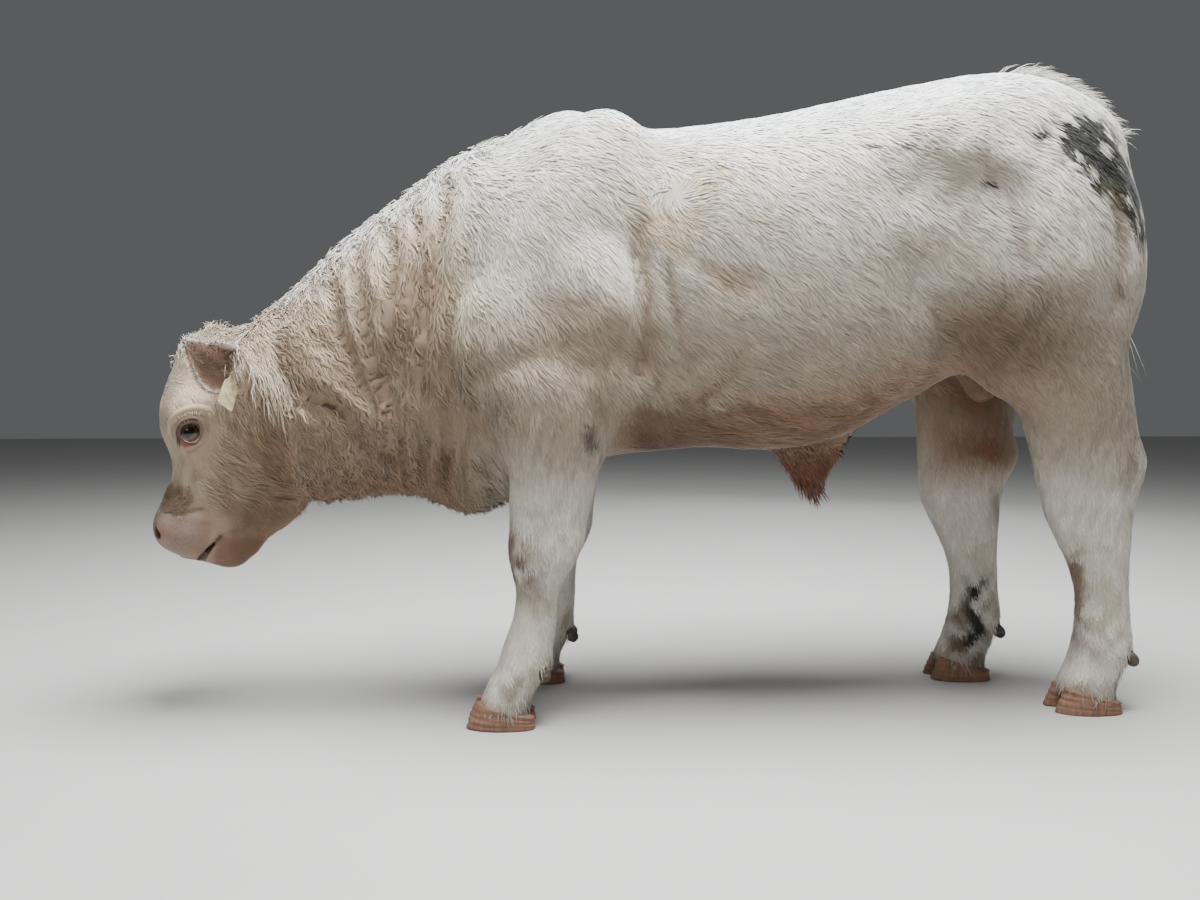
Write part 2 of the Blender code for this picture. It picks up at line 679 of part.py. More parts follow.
def claw(name, foot_x, foot_y, outer, collection):
    """One claw: flat sole, sloping toe, nearly upright heel, cut at the coronet."""
    levels = [(0.0, 0.010, 1.0), (0.5, 0.001, 0.97), (1.0, -0.012, 0.92)]
    rings = []
    for share, toe, width in levels:
        ring = []
        for k in range(14):
            angle = 2 * math.pi * k / 14
            c, s = math.cos(angle), math.sin(angle)
            ahead = HOOF_LENGTH / 2 + (toe if c < 0 else -0.004 * share)
            along = ahead * math.copysign(abs(c) ** 0.82, c)
            reach = 0.0245 * width * (1 - 0.30 * max(0.0, -c) ** 2)
            across = reach * math.copysign(abs(s) ** 0.8, s)
            if s * outer < 0:
                across *= 0.86
            across -= outer * 0.006 * max(0.0, -c) ** 2
            x = foot_x + along
            y = foot_y + outer * 0.0285 + across
            ring.append(Vector((x, y, share * (coronet(x, foot_x) - GAP))))
        rings.append(ring)
    return skin_rings(name, rings, collection)


def dewclaw(name, place, lean, collection, grow=0.0):
    """A small blunt horn behind the fetlock."""
    axis = Vector(lean).normalized()
    side = axis.cross(RIGHT).normalized()
    other = axis.cross(side)
    rings = []
    for along, radius in ((-0.014 - grow, 0.0115), (0.000, 0.0125), (0.009, 0.0100), (0.014, 0.0055)):
        ring = []
        for k in range(8):
            angle = 2 * math.pi * k / 8
            reach = radius + grow
            spoke = side * math.cos(angle) + other * math.sin(angle)
            ring.append(Vector(place) + axis * along + spoke * reach)
        rings.append(ring)
    return skin_rings(name, rings, collection)


def eye_opening(side, collection):
    """The wedge between the lids: an almond outline, swept outward from the eye."""
    along, across, out = EYE_SEAT
    centre = head_point(along, side * across, out)
    gaze = (ACROSS * side + BROW * 0.28 + FACE * 0.04).normalized()
    slant = (FACE * 0.82 + BROW * 0.57).normalized()  # from the outer corner to the inner one
    slant = (slant - gaze * slant.dot(gaze)).normalized()
    lift = gaze.cross(slant)
    rings = []
    for depth, spread in ((0.004, 0.72), (0.05, 1.25)):
        ring = []
        for k in range(20):
            angle = 2 * math.pi * k / 20
            c, s = math.cos(angle), math.sin(angle)
            u = 0.0255 * c + (0.003 if c > 0 else 0.0)
            v = 0.0190 * math.copysign(abs(s) ** 1.15, s)
            ring.append(centre + gaze * depth + slant * (u * spread) + lift * (v * spread))
        rings.append(ring)
    return skin_rings("opening", rings, collection)


def skin_place(shapes, inside, way):
    """Where a line from inside the body leaves it, and the way out of the skin there."""
    inside = np.array(inside, float)
    way = np.array(Vector(way).normalized())
    reach = np.arange(0, 0.5, 0.002)
    value = body_field(shapes, inside + reach[:, None] * way)
    first = int(np.argmax(value > 0))
    low, high = value[first - 1], value[first]
    place = inside + way * (reach[first] - 0.002 * high / (high - low))
    probe = place + np.vstack([np.zeros(3), np.eye(3) * 0.002])
    slope = body_field(shapes, probe)
    out = Vector((slope[1:] - slope[0]).tolist()).normalized()
    return Vector(place.tolist()), out


def lock(place, out, lie, length, width, collection, lift=0.010, curl=0.0, sink=0.010):
    """A flat tapered lock that leaves the skin, bends over and ends in a point."""
    lie = (Vector(lie) - out * Vector(lie).dot(out)).normalized()
    across = out.cross(lie)
    steps = ((0.0, 0.62), (0.22, 1.0), (0.50, 0.92), (0.78, 0.55), (1.0, 0.0))
    line = []
    for t, spread in steps:
        rise = -sink + (sink + lift) * math.sin(min(1.0, t * 1.25 + 0.05) * math.pi / 2) + lift * 0.25 * t
        drift = across * (curl * math.sin(t * math.pi) * length)
        line.append((place + lie * (length * t) + out * rise + drift, spread))
    bm = bmesh.new()
    rings = []
    for i, (centre, spread) in enumerate(line[:-1]):
        ahead = (line[i + 1][0] - centre).normalized()
        up = across.cross(ahead).normalized() * (-1 if across.cross(ahead).dot(out) < 0 else 1)
        half = width / 2 * spread
        thick = max(0.0022, half * 0.42)
        section = ((half, 0), (0, thick), (-half, 0), (0, -thick))
        rings.append([bm.verts.new(centre + across * x + up * y) for x, y in section])
    tip = bm.verts.new(line[-1][0])
    for first, second in zip(rings, rings[1:]):
        for k in range(4):
            n = (k + 1) % 4
            bm.faces.new((first[k], first[n], second[n], second[k]))
    for k in range(4):
        bm.faces.new((rings[-1][k], rings[-1][(k + 1) % 4], tip))
    bm.faces.new(rings[0])
    bmesh.ops.recalc_face_normals(bm, faces=bm.faces)
    mesh = bpy.data.meshes.new("lock")
    bm.to_mesh(mesh)
    bm.free()
    return new_object("lock", mesh, collection)


def fused(obj, locks, solver="EXACT"):
    """Joins locks to the piece that they grow from."""
    group = bpy.data.collections.new("locks")
    bpy.context.scene.collection.children.link(group)
    for item in locks:
        for home in item.users_collection:
            home.objects.unlink(item)
        group.objects.link(item)
    step = obj.modifiers.new("union", "BOOLEAN")
    step.operation = "UNION"
    step.solver = solver
    step.operand_type = "COLLECTION"
    step.collection = group
    baked(obj)
    for item in list(group.objects):
        bpy.data.objects.remove(item)
    bpy.data.collections.remove(group)
    return largest_shell(obj)


def neck_locks(shapes, collection):
    """Upswept locks along the crest and the loose curl of skin low on each side of the neck."""
    locks = []
    for i in range(14):
        x = -0.600 + 0.265 * i / 13
        side = -1 if i % 2 else 1
        centre = 0.62 + 0.15 * (x + 0.60) / 0.265
        place, out = skin_place(shapes, (x, side * 0.012, centre), (0, side * 0.10, 1))
        lie = (-0.70, side * 0.65, 0.05)
        length = 0.060 + 0.010 * math.sin(i * 2.1)
        locks.append(lock(place, out, lie, length, 0.032, collection, 0.012, 0.10 * side))
    for side in (-1, 1):
        for x, z, lie in ((-0.392, 0.548, (-0.35, 0, -1)), (-0.412, 0.530, (-0.10, 0, -1))):
            place, out = skin_place(shapes, (x, 0, z), (0, side, -0.1))
            locks.append(lock(place, out, lie, 0.052, 0.036, collection, 0.014, 0.18))
    return locks


def head_locks(shapes, collection):
    """The tuft of the poll and the long hair behind and under the ears."""
    locks = []
    for i, across in enumerate((-0.044, -0.018, 0.010, 0.038)):
        place, out = skin_place(shapes, head_point(0.03, across, -0.02), -FACE + BROW * 0.35)
        lie = BROW + ACROSS * (across * 6)
        length = 0.046 + 0.006 * math.sin(i * 2.3)
        curl = 0.12 if i % 2 else -0.12
        locks.append(lock(place, out, lie, length, 0.034, collection, 0.008, curl))
    for side in (-1, 1):
        for along, h, length in ((0.098, -0.064, 0.056), (0.106, -0.084, 0.060)):
            place, out = skin_place(shapes, head_point(along, 0, h), ACROSS * side)
            lie = FACE - BROW * 0.10
            locks.append(lock(place, out, lie, length, 0.026, collection, 0.009, 0.12 * side))
    return locks


def tail_locks(collection):
    """The switch: long locks that spread round the end of the tail."""
    locks = []
    for i in range(9):
        angle = 2 * math.pi * i / 9 + 0.3
        z = 0.665 - 0.055 * (i % 3)
        out = Vector((math.cos(angle), math.sin(angle), 0.0))
        place = Vector((1.0335, 0, z)) + out * 0.024
        lie = (0.02, 0.0, -1.0)
        curl = 0.07 if i % 2 else -0.07
        locks.append(lock(place, out, lie, 0.150 + 0.012 * (i % 2), 0.028, collection, 0.006, curl))
    return locks


def ear_locks(side, collection):
    """Long hair that fringes the lower rim of an ear."""
    root, along, broad, open_side = ear_frame(side)
    locks = []
    for reach, width in ((0.034, 0.032), (0.066, 0.042)):
        place = root + along * reach + broad * width - open_side * 0.006
        lie = broad * 0.9 + along * 0.5
        out = (broad * 0.5 - open_side * 0.8).normalized()
        locks.append(lock(place, out, lie, 0.034, 0.024, collection, 0.003, 0.08, 0.004))
    return locks


def ear_frame(side):
    """Root, length, breadth and open side of an ear."""
    root = head_point(0.060, side * 0.106, -0.060)
    along = (ACROSS * side * 0.60 + BROW * 0.76 - FACE * 0.26).normalized()
    broad = (FACE * 0.93 + BROW * 0.30 - ACROSS * side * 0.02).normalized()
    broad = (broad - along * broad.dot(along)).normalized()
    open_side = along.cross(broad).normalized()
    if open_side.dot(ACROSS * side) < 0:
        open_side = -open_side
    return root, along, broad, open_side


def ear_shape(side, collection):
    """An ear: a tapered leaf hollowed on its open side, on a round root."""
    root, along, broad, open_side = ear_frame(side)
    leaf = [
        (0.000, 0.021, 0.021, 0.000, 0.000),
        (0.016, 0.028, 0.023, 0.001, 0.000),
        (0.036, 0.039, 0.024, 0.003, 0.000),
        (0.058, 0.046, 0.023, 0.005, 0.001),
        (0.082, 0.042, 0.020, 0.006, 0.001),
        (0.106, 0.031, 0.016, 0.005, 0.000),
        (0.130, 0.0185, 0.011, 0.003, -0.003),
        (0.150, 0.0085, 0.007, 0.001, -0.006),
        (0.161, 0.003, 0.003, 0.000, -0.008),
    ]
    outer = []
    hollow = []
    for reach, width, depth, sink, drop in leaf:
        centre = root + along * reach - open_side * sink + broad * drop
        ring = []
        room = []
        for k in range(18):
            angle = 2 * math.pi * k / 18
            c, s = math.cos(angle), math.sin(angle)
            height = depth * (s if s < 0 else s * 0.75)
            ring.append(centre + broad * (width * c) + open_side * height)
            thick = 0.0038
            deep = (depth - thick) * s if s < 0 else 0.05 * s
            room.append(centre + broad * ((width - thick * 0.75) * c) + open_side * (deep + 0.0005))
        outer.append(ring)
        if 0.03 < reach < 0.12:
            hollow.append(room)
    first = hollow[0]
    last = hollow[-1]
    middle = sum(first, Vector()) / len(first) - along * 0.022 + open_side * 0.012
    hollow.insert(0, [middle + (place - sum(first, Vector()) / len(first)) * 0.35 for place in first])
    middle = sum(last, Vector()) / len(last) + along * 0.012 + open_side * 0.008
    hollow.append([middle + (place - sum(last, Vector()) / len(last)) * 0.4 for place in last])
    ear = skin_rings("ear_left" if side < 0 else "ear_right", outer, collection)
    return combined(ear, skin_rings("hollow", hollow, collection), "DIFFERENCE")


def ear_tag(name, collection, grow=0.0, pin_only=False):
    """The tag in the left ear: a flat plate that hangs from a short pin sunk in the ear."""
    root, along, broad, open_side = ear_frame(-1)
    place = root + along * TAG_SEAT
    rings = []
    for lift in (-0.0250 - grow, -0.0150, TAG_LIFT):
        ring = []
        for k in range(10):
            angle = 2 * math.pi * k / 10
            reach = 0.0042 + grow
            spoke = along * math.cos(angle) + broad * math.sin(angle)
            ring.append(place + open_side * lift + spoke * reach)
        rings.append(ring)
    pin = skin_rings(name, rings, collection)
    if pin_only:
        return pin
    across = (along - TAG_DOWN * along.dot(TAG_DOWN)).normalized()
    face = across.cross(TAG_DOWN)
    if face.dot(open_side) < 0:
        face = -face
    half = ((-0.009, 0.006), (0.010, 0.008), (0.020, 0.016), (0.022, 0.0175))
    half += ((0.068, 0.0185), (0.070, 0.017))
    outline = [(u, -v) for u, v in half] + [(u, v) for u, v in reversed(half)]
    centre = place + open_side * TAG_LIFT
    rings = []
    for lift in (-0.0011, 0.0011):
        rings.append([centre + face * lift + TAG_DOWN * u + across * v for u, v in outline])
    return combined(pin, skin_rings("plate", rings, collection), "UNION")


def ear_seat(side, collection):
    """The room a gap behind the ear's root and out along it."""
    root, along, broad, open_side = ear_frame(side)
    rings = []
    for reach in (-GAP, 0.06):
        ring = []
        for k in range(16):
            angle = 2 * math.pi * k / 16
            spread = broad * (0.046 * math.cos(angle)) + open_side * (0.046 * math.sin(angle))
            ring.append(root + along * reach + spread)
        rings.append(ring)
    return skin_rings("seat", rings, collection)


def mouth_cleft(side, collection):
    """One side's wedge between the lips, closing at the corner of the mouth."""
    outline = ((0.351, -0.0668), (0.375, -0.0490), (0.395, -0.0370), (0.425, -0.0290))
    outline += ((0.425, -0.0410), (0.388, -0.0530))
    rings = [[head_point(a, side * across, h) for a, h in outline] for across in (0.024, 0.09)]
    return skin_rings("cleft", rings, collection)


def nostril(side, collection):
    """A comma-shaped hollow at the front corner of the muzzle."""
    rings = []
    centre = head_point(0.359, side * 0.044, 0.046)
    inward = (BROW * -0.78 - ACROSS * side * 0.42 - FACE * 0.42).normalized()
    long_way = (FACE * 0.80 + ACROSS * side * 0.45 - BROW * 0.2).normalized()
    long_way = (long_way - inward * long_way.dot(inward)).normalized()
    wide = inward.cross(long_way)
    for depth, spread in ((-0.020, 1.25), (0.0, 1.0), (0.012, 0.72), (0.020, 0.35)):
        ring = []
        for k in range(12):
            angle = 2 * math.pi * k / 12
            c, s = math.cos(angle), math.sin(angle)
            place = centre + inward * depth + long_way * (0.0155 * spread * c)
            ring.append(place + wide * (0.0085 * spread * s * (1.0 + 0.35 * c)))
        rings.append(ring)
    return skin_rings("nostril", rings, collection)


def tail_shape(name, collection, grow=0.0):
    """The tail, hanging behind the rump from its root to the end of the switch."""
    line = [
        (1.0080, 1.1290, 0.0300, 0.0330),
        (1.0230, 1.1000, 0.0270, 0.0290),
        (1.0320, 1.0500, 0.0235, 0.0250),
        (1.0360, 0.9700, 0.0205, 0.0215),
        (1.0380, 0.8800, 0.0180, 0.0190),
        (1.0380, 0.7900, 0.0170, 0.0180),
        (1.0360, 0.7200, 0.0210, 0.0220),
        (1.0330, 0.6500, 0.0290, 0.0300),
        (1.0310, 0.5800, 0.0300, 0.0310),
        (1.0300, 0.5200, 0.0230, 0.0240),
        (1.0300, 0.4700, 0.0110, 0.0120),
        (1.0300, 0.4550, 0.0030, 0.0030),
    ]
    rows = Loft.smooth_rows(np.array(line), 22)
    rings = []
    for i, (x, z, side, depth) in enumerate(rows):
        step = rows[min(i + 1, len(rows) - 1)] - rows[max(i - 1, 0)]
        down = Vector((step[0], 0, step[1])).normalized()
        place = Vector((x, 0, z))
        if i == 0:
            down = Vector(TAIL_CUT).normalized()
            place -= down * grow
        back = down.cross(RIGHT)
        ring = []
        for k in range(12):
            angle = 2 * math.pi * k / 12
            reach = RIGHT * ((side + grow) * math.cos(angle)) + back * ((depth + grow) * math.sin(angle))
            ring.append(place + reach)
        rings.append(ring)
    return skin_rings(name, rings, collection)


def finish(obj, colour, roughness):
    material = bpy.data.materials.new(obj.name)
    material.use_nodes = True
    shader = material.node_tree.nodes["Principled BSDF"]
    shader.inputs["Base Color"].default_value = (*colour, 1.0)
    shader.inputs["Roughness"].default_value = roughness
    obj.data.materials.clear()
    obj.data.materials.append(material)
    for polygon in obj.data.polygons:
        polygon.material_index = 0
        polygon.use_smooth = True


def stand(pieces):
    """Puts the middle of the whole at the origin and the soles on the floor."""
    places = np.vstack([read_points(obj.data) for obj in pieces])
    low, high = places.min(axis=0), places.max(axis=0)
    shift = np.array([(low[0] + high[0]) / 2, (low[1] + high[1]) / 2, low[2]])
    for obj in pieces:
        write_points(obj.data, read_points(obj.data) - shift)


NECK_CUT = ((-0.648, 0.0, 0.60), (0.970, 0.16, 0.10))  # between head and neck
CHEST_CUT = ((-0.275, 0.0, 0.75), (0.997, 0.0, 0.07))  # between neck and torso
TAIL_CUT = (0.55, 0.0, -0.83)  # the way the tail leaves its root
LEG_BLOCKS = {
    "fore_left": (
        (-0.29, -0.05), (0.060, -0.05), (0.045, 0.48),
        (0.035, 0.535), (-0.10, 0.605), (-0.195, 0.585),
    ),
    "fore_right": (
        (-0.25, -0.05), (0.070, -0.05), (0.060, 0.48),
        (0.045, 0.535), (-0.09, 0.605), (-0.185, 0.585),
    ),
    "hind_left": ((0.70, -0.05), (1.20, -0.05), (1.20, 0.60), (0.80, 0.625), (0.755, 0.60)),
    "hind_right": ((0.55, -0.05), (1.10, -0.05), (1.10, 0.60), (0.73, 0.625), (0.685, 0.60)),
}


def main():
    for obj in list(bpy.data.objects):
        bpy.data.objects.remove(obj)
    parts = bpy.data.collections.new("polled_bull")
    bpy.context.scene.collection.children.link(parts)
    shapes = build_field()

    head_only = {"trunk": shapes["trunk"][2:3], "head": shapes["head"]}
    head = clay("head", head_only, shapes, 0.0042, parts)
    halved(head, Vector(NECK_CUT[0]), Vector(NECK_CUT[1]))
    thinned(head, HEAD_TRIANGLES)

    body = clay("torso", shapes, shapes, 0.0085, parts)
    neck = copied(body, "neck", parts)
    thinned(neck, NECK_TRIANGLES)
    thinned(body, BODY_TRIANGLES)
    halved(neck, Vector(NECK_CUT[0]) + Vector(NECK_CUT[1]).normalized() * GAP, -Vector(NECK_CUT[1]))
    halved(neck, Vector(CHEST_CUT[0]), Vector(CHEST_CUT[1]))
    halved(body, Vector(CHEST_CUT[0]) + Vector(CHEST_CUT[1]).normalized() * GAP, -Vector(CHEST_CUT[1]))
    largest_shell(neck)
    largest_shell(body)

    pieces = {"head": head, "neck": neck, "torso": body}
    for name, outline in LEG_BLOCKS.items():
        side = LEGS[name]["side"]
        inner = 0.078 if name.startswith("fore") else 0.040
        near, far = sorted((side * inner, side * 0.42))
        leg = part_off(body, "leg_" + name, outline, near, far, parts)
        foot_x, foot_y = LEGS[name]["foot"]
        slope = Vector(((HOOF_FRONT - HOOF_HEEL) / HOOF_LENGTH, 0, 1)).normalized()
        halved(leg, Vector((foot_x, 0, coronet(foot_x, foot_x))), -slope)
        pieces["leg_" + name] = leg
        heel_x = foot_x + (0.074 if name.startswith("fore") else 0.079)
        heel_z = 0.098 if name.startswith("fore") else 0.102
        for outer in (-1, 1):
            label = name + ("_outer" if outer == side else "_inner")
            pieces["claw_" + label] = claw("claw_" + label, foot_x, side * foot_y, outer, parts)
            place = (heel_x, side * foot_y + outer * 0.026, heel_z)
            lean = (0.62, outer * 0.20, -0.76)
            combined(leg, dewclaw("socket", place, lean, parts, GAP), "DIFFERENCE")
            pieces["dewclaw_" + label] = dewclaw("dewclaw_" + label, place, lean, parts)

    combined(body, tail_shape("tail_room", parts, GAP), "DIFFERENCE")
    largest_shell(body)
    pieces["tail"] = tail_shape("tail", parts)

    for side, name in ((-1, "left"), (1, "right")):
        along, across, out = EYE_SEAT
        centre = head_point(along, side * across, out)
        combined(head, eye_opening(side, parts), "DIFFERENCE")
        combined(head, ball("pocket", centre, EYE_RADIUS + GAP, parts), "DIFFERENCE")
        pieces["eye_" + name] = ball("eye_" + name, centre, EYE_RADIUS, parts)
        combined(head, ear_seat(side, parts), "DIFFERENCE")
        combined(head, nostril(side, parts), "DIFFERENCE")
        pieces["ear_" + name] = ear_shape(side, parts)
    combined(pieces["ear_left"], ear_tag("pin_room", parts, GAP, True), "DIFFERENCE")
    pieces["ear_tag"] = ear_tag("ear_tag", parts)
    combined(head, mouth_cleft(-1, parts), "DIFFERENCE")
    combined(head, mouth_cleft(1, parts), "DIFFERENCE")
    largest_shell(head)

    fused(neck, neck_locks(shapes, parts))
    fused(head, head_locks(shapes, parts))
    fused(pieces["tail"], tail_locks(parts))
    for side, name in ((-1, "left"), (1, "right")):
        fused(pieces["ear_" + name], ear_locks(side, parts), "MANIFOLD")

    for name, obj in pieces.items():
        if name.startswith("claw"):
            finish(obj, COLOURS["horn"], 0.55)
        elif name.startswith("dewclaw"):
            finish(obj, COLOURS["dewclaw"], 0.6)
        elif name.startswith("eye"):
            finish(obj, COLOURS["eye"], 0.1)
        elif name == "ear_tag":
            finish(obj, COLOURS["tag"], 0.5)
        else:
            finish(obj, COLOURS["coat"], 0.85)
    stand(pieces.values())


main()
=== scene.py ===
import math
import time

import bmesh
import bpy
import numpy as np
from mathutils import Matrix, Vector


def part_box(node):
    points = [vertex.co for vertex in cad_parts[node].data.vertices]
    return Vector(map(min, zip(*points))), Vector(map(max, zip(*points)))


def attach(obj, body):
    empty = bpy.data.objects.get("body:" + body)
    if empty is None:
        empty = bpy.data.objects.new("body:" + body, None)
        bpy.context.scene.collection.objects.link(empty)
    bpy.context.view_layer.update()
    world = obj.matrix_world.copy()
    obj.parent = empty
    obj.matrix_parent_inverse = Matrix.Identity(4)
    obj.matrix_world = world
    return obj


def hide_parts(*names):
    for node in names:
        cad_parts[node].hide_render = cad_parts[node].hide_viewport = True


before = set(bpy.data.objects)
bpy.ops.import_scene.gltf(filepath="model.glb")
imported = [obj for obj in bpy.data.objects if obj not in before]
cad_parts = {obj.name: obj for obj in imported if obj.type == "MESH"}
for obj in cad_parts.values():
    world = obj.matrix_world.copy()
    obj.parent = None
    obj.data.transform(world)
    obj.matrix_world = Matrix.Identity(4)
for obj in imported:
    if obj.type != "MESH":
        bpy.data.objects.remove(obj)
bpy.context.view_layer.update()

started = time.time()
chance = np.random.default_rng(11)

bull = {  # driving sizes, in metres
    "withers": 1.165,
    "chestFloor": 0.49,
    "foreStance": 0.150,
    "hindStance": 0.120,
    "eyeRadius": 0.0215,
}

# Frame of the head: along the face from the poll to the muzzle, out of the forehead, and across
poll = Vector((-0.735, -0.005, 0.700))
faceLean = math.radians(12.0)  # the face from the plumb line
headTurn = math.radians(18.0)  # the head towards its left
faceWay = Matrix.Rotation(headTurn, 3, "Z") @ Vector((-math.sin(faceLean), 0.0, -math.cos(faceLean)))
browWay = Matrix.Rotation(headTurn, 3, "Z") @ Vector((-math.cos(faceLean), 0.0, math.sin(faceLean)))
acrossWay = faceWay.cross(browWay)  # towards the bull's right
rightWay = Vector((0.0, 1.0, 0.0))
upWay = Vector((0.0, 0.0, 1.0))

eyeSeat = (0.168, 0.071, 0.020)  # along the face, across, out of the forehead

def headPoint(along, across, out):
    # A place on the head, in the model's frame
    return poll + faceWay * along + acrossWay * across + browWay * out


def around(count):  # the angle, cosine and sine of places spread evenly round a circle
    for k in range(count):
        angle = 2 * math.pi * k / count
        yield angle, math.cos(angle), math.sin(angle)


# Smooth fields: negative inside, about a distance near the surface


class Loft:
    # A form of changing section across a straight axis
    # Each station is (x, y, z, side, up, down, power): a centre, the reach of the section to either
    # side, upward and downward, and the power of its superellipse

    hollow = False

    def __init__(self, stations, axis, up, blend, samples=160):
        self.blend = blend
        self.axis = np.array(Vector(axis).normalized())
        side = Vector(up).cross(Vector(axis)).normalized()
        self.side = np.array(side)
        self.up = np.array(Vector(axis).cross(side).normalized())
        rows = self.smoothRows(np.array(stations, float), samples)
        self.place = rows[:, :3] @ self.axis
        if self.place[0] > self.place[-1]:
            rows = rows[::-1]
            self.place = self.place[::-1]
        self.rows = rows

    @staticmethod
    def smoothRows(table, samples):
        # Catmull-Rom rows through the stations, evenly spread
        padded = np.vstack([2 * table[0] - table[1], table, 2 * table[-1] - table[-2]])
        places = np.linspace(0, len(table) - 1 - 1e-9, samples)
        index = places.astype(int)
        t = (places - index)[:, None]
        a, b, c, d = (padded[index + k] for k in range(4))
        bend = (2 * a - 5 * b + 4 * c - d) * t**2 + (3 * b - a - 3 * c + d) * t**3
        return 0.5 * (2 * b + (c - a) * t + bend)

    def reach(self):  # the corners of the room in which the form counts
        size = self.rows[:, 3:6].max(axis=1)[:, None] + self.blend
        return (self.rows[:, :3] - size).min(axis=0), (self.rows[:, :3] + size).max(axis=0)

    def field(self, points):
        where = points @ self.axis
        held = np.clip(where, self.place[0], self.place[-1])
        rows = [np.interp(held, self.place, self.rows[:, k]) for k in range(7)]
        offset = points - np.stack(rows[:3], axis=1)
        across = np.abs(offset @ self.side)
        rise = offset @ self.up
        height = np.where(rise > 0, rows[4], rows[5])
        power = rows[6]
        ratio = ((across / rows[3]) ** power + (np.abs(rise) / height) ** power) ** (1 / power)
        reach = np.sqrt(across**2 + rise**2)
        least = -np.minimum(rows[3], height)
        flat = np.where(ratio > 1e-6, reach * (1 - 1 / np.maximum(ratio, 1e-6)), least)
        flat = np.maximum(flat, least)
        past = np.abs(where - held)
        beyond = np.sqrt(np.maximum(flat, 0) ** 2 + past**2) + np.minimum(flat, 0) * 0.2
        return np.where(past > 0, beyond, flat)

    def rough(self, bm, sides=20, step=4):
        # Adds a plain loft of the sections to a bmesh
        rings = []
        for row in self.rows[::step]:
            ring = []
            for _, c, s in around(sides):
                height = row[4] if s > 0 else row[5]
                x = row[3] * math.copysign(abs(c) ** (2 / row[6]), c)
                y = height * math.copysign(abs(s) ** (2 / row[6]), s)
                ring.append(bm.verts.new(row[:3] + self.side * x + self.up * y))
            rings.append(ring)
        for first, second in zip(rings, rings[1:]):
            for k in range(sides):
                n = (k + 1) % sides
                bm.faces.new((first[k], first[n], second[n], second[k]))
        bm.faces.new(rings[0])
        bm.faces.new(rings[-1])


class Mass:
    # A rounded muscle or pad: an ellipsoid with its own axes, added to the form or hollowed out of it

    def __init__(self, centre, radii, axes, blend, hollow=False):
        self.blend = blend
        self.hollow = hollow
        self.centre = np.array(centre, float)
        self.radii = np.array(radii, float)
        self.axes = np.array([Vector(axis).normalized() for axis in axes], float)

    def reach(self):
        size = np.linalg.norm(self.axes * self.radii[:, None], axis=0) + self.blend
        return self.centre - size, self.centre + size

    def field(self, points):
        local = (points - self.centre) @ self.axes.T
        k0 = np.linalg.norm(local / self.radii, axis=1)
        k1 = np.linalg.norm(local / self.radii**2, axis=1)
        return np.where(k1 > 1e-9, k0 * (k0 - 1) / np.maximum(k1, 1e-9), -self.radii.min())

    def rough(self, bm):
        turn = Matrix(self.axes.tolist()).transposed().to_4x4()
        place = Matrix.Translation(self.centre) @ turn @ Matrix.Diagonal((*self.radii, 1))
        bmesh.ops.create_uvsphere(bm, u_segments=20, v_segments=12, radius=1, matrix=place)


class Fold:
    # A crease of both sides along a line given in x and z, or a swelling if its depth is negative

    def __init__(self, line, depth, width, inner=0.03):
        self.line = Loft.smoothRows(np.array(line, float), 12)
        self.depth = depth
        self.width = width
        self.inner = inner

    def relief(self, points):
        reach = 3 * self.width
        low = self.line.min(axis=0) - reach
        high = self.line.max(axis=0) + reach
        everywhere = points[:, (0, 2)]
        near = np.all((everywhere > low) & (everywhere < high), axis=1)
        result = np.zeros(len(points))
        if not near.any():
            return result
        flat = everywhere[near]
        nearest = np.full(len(flat), 1e9)
        first, last = self.line[0], self.line[-1]
        for a, b in zip(self.line, self.line[1:]):
            along = b - a
            share = np.clip((flat - a) @ along / (along @ along), 0, 1)
            nearest = np.minimum(nearest, np.linalg.norm(flat - a - share[:, None] * along, axis=1))
        for end in (first, last):
            nearest = nearest + np.maximum(0, 0.02 - np.linalg.norm(flat - end, axis=1)) * 0.6
        side = np.clip((np.abs(points[near, 1]) - self.inner) / 0.04, 0, 1)
        result[near] = self.depth * np.exp(-((nearest / self.width) ** 2)) * side
        return result


def upright(lean=0.0, splay=0.0):
    # Axes of a mass whose long axis is upright, leaned back and splayed out by so many degrees
    turn = Matrix.Rotation(math.radians(lean), 3, "Y") @ Matrix.Rotation(math.radians(splay), 3, "X")
    return [turn.col[i].copy() for i in range(3)]


def headMass(along, across, out, radii, blend, lean=0.0, hollow=False):
    # A mass whose axes are the head's: along the face, across it, and out of it
    turn = Matrix.Rotation(math.radians(lean), 3, acrossWay)
    return Mass(
        headPoint(along, across, out), radii, (turn @ faceWay, acrossWay, turn @ browWay), blend, hollow
    )


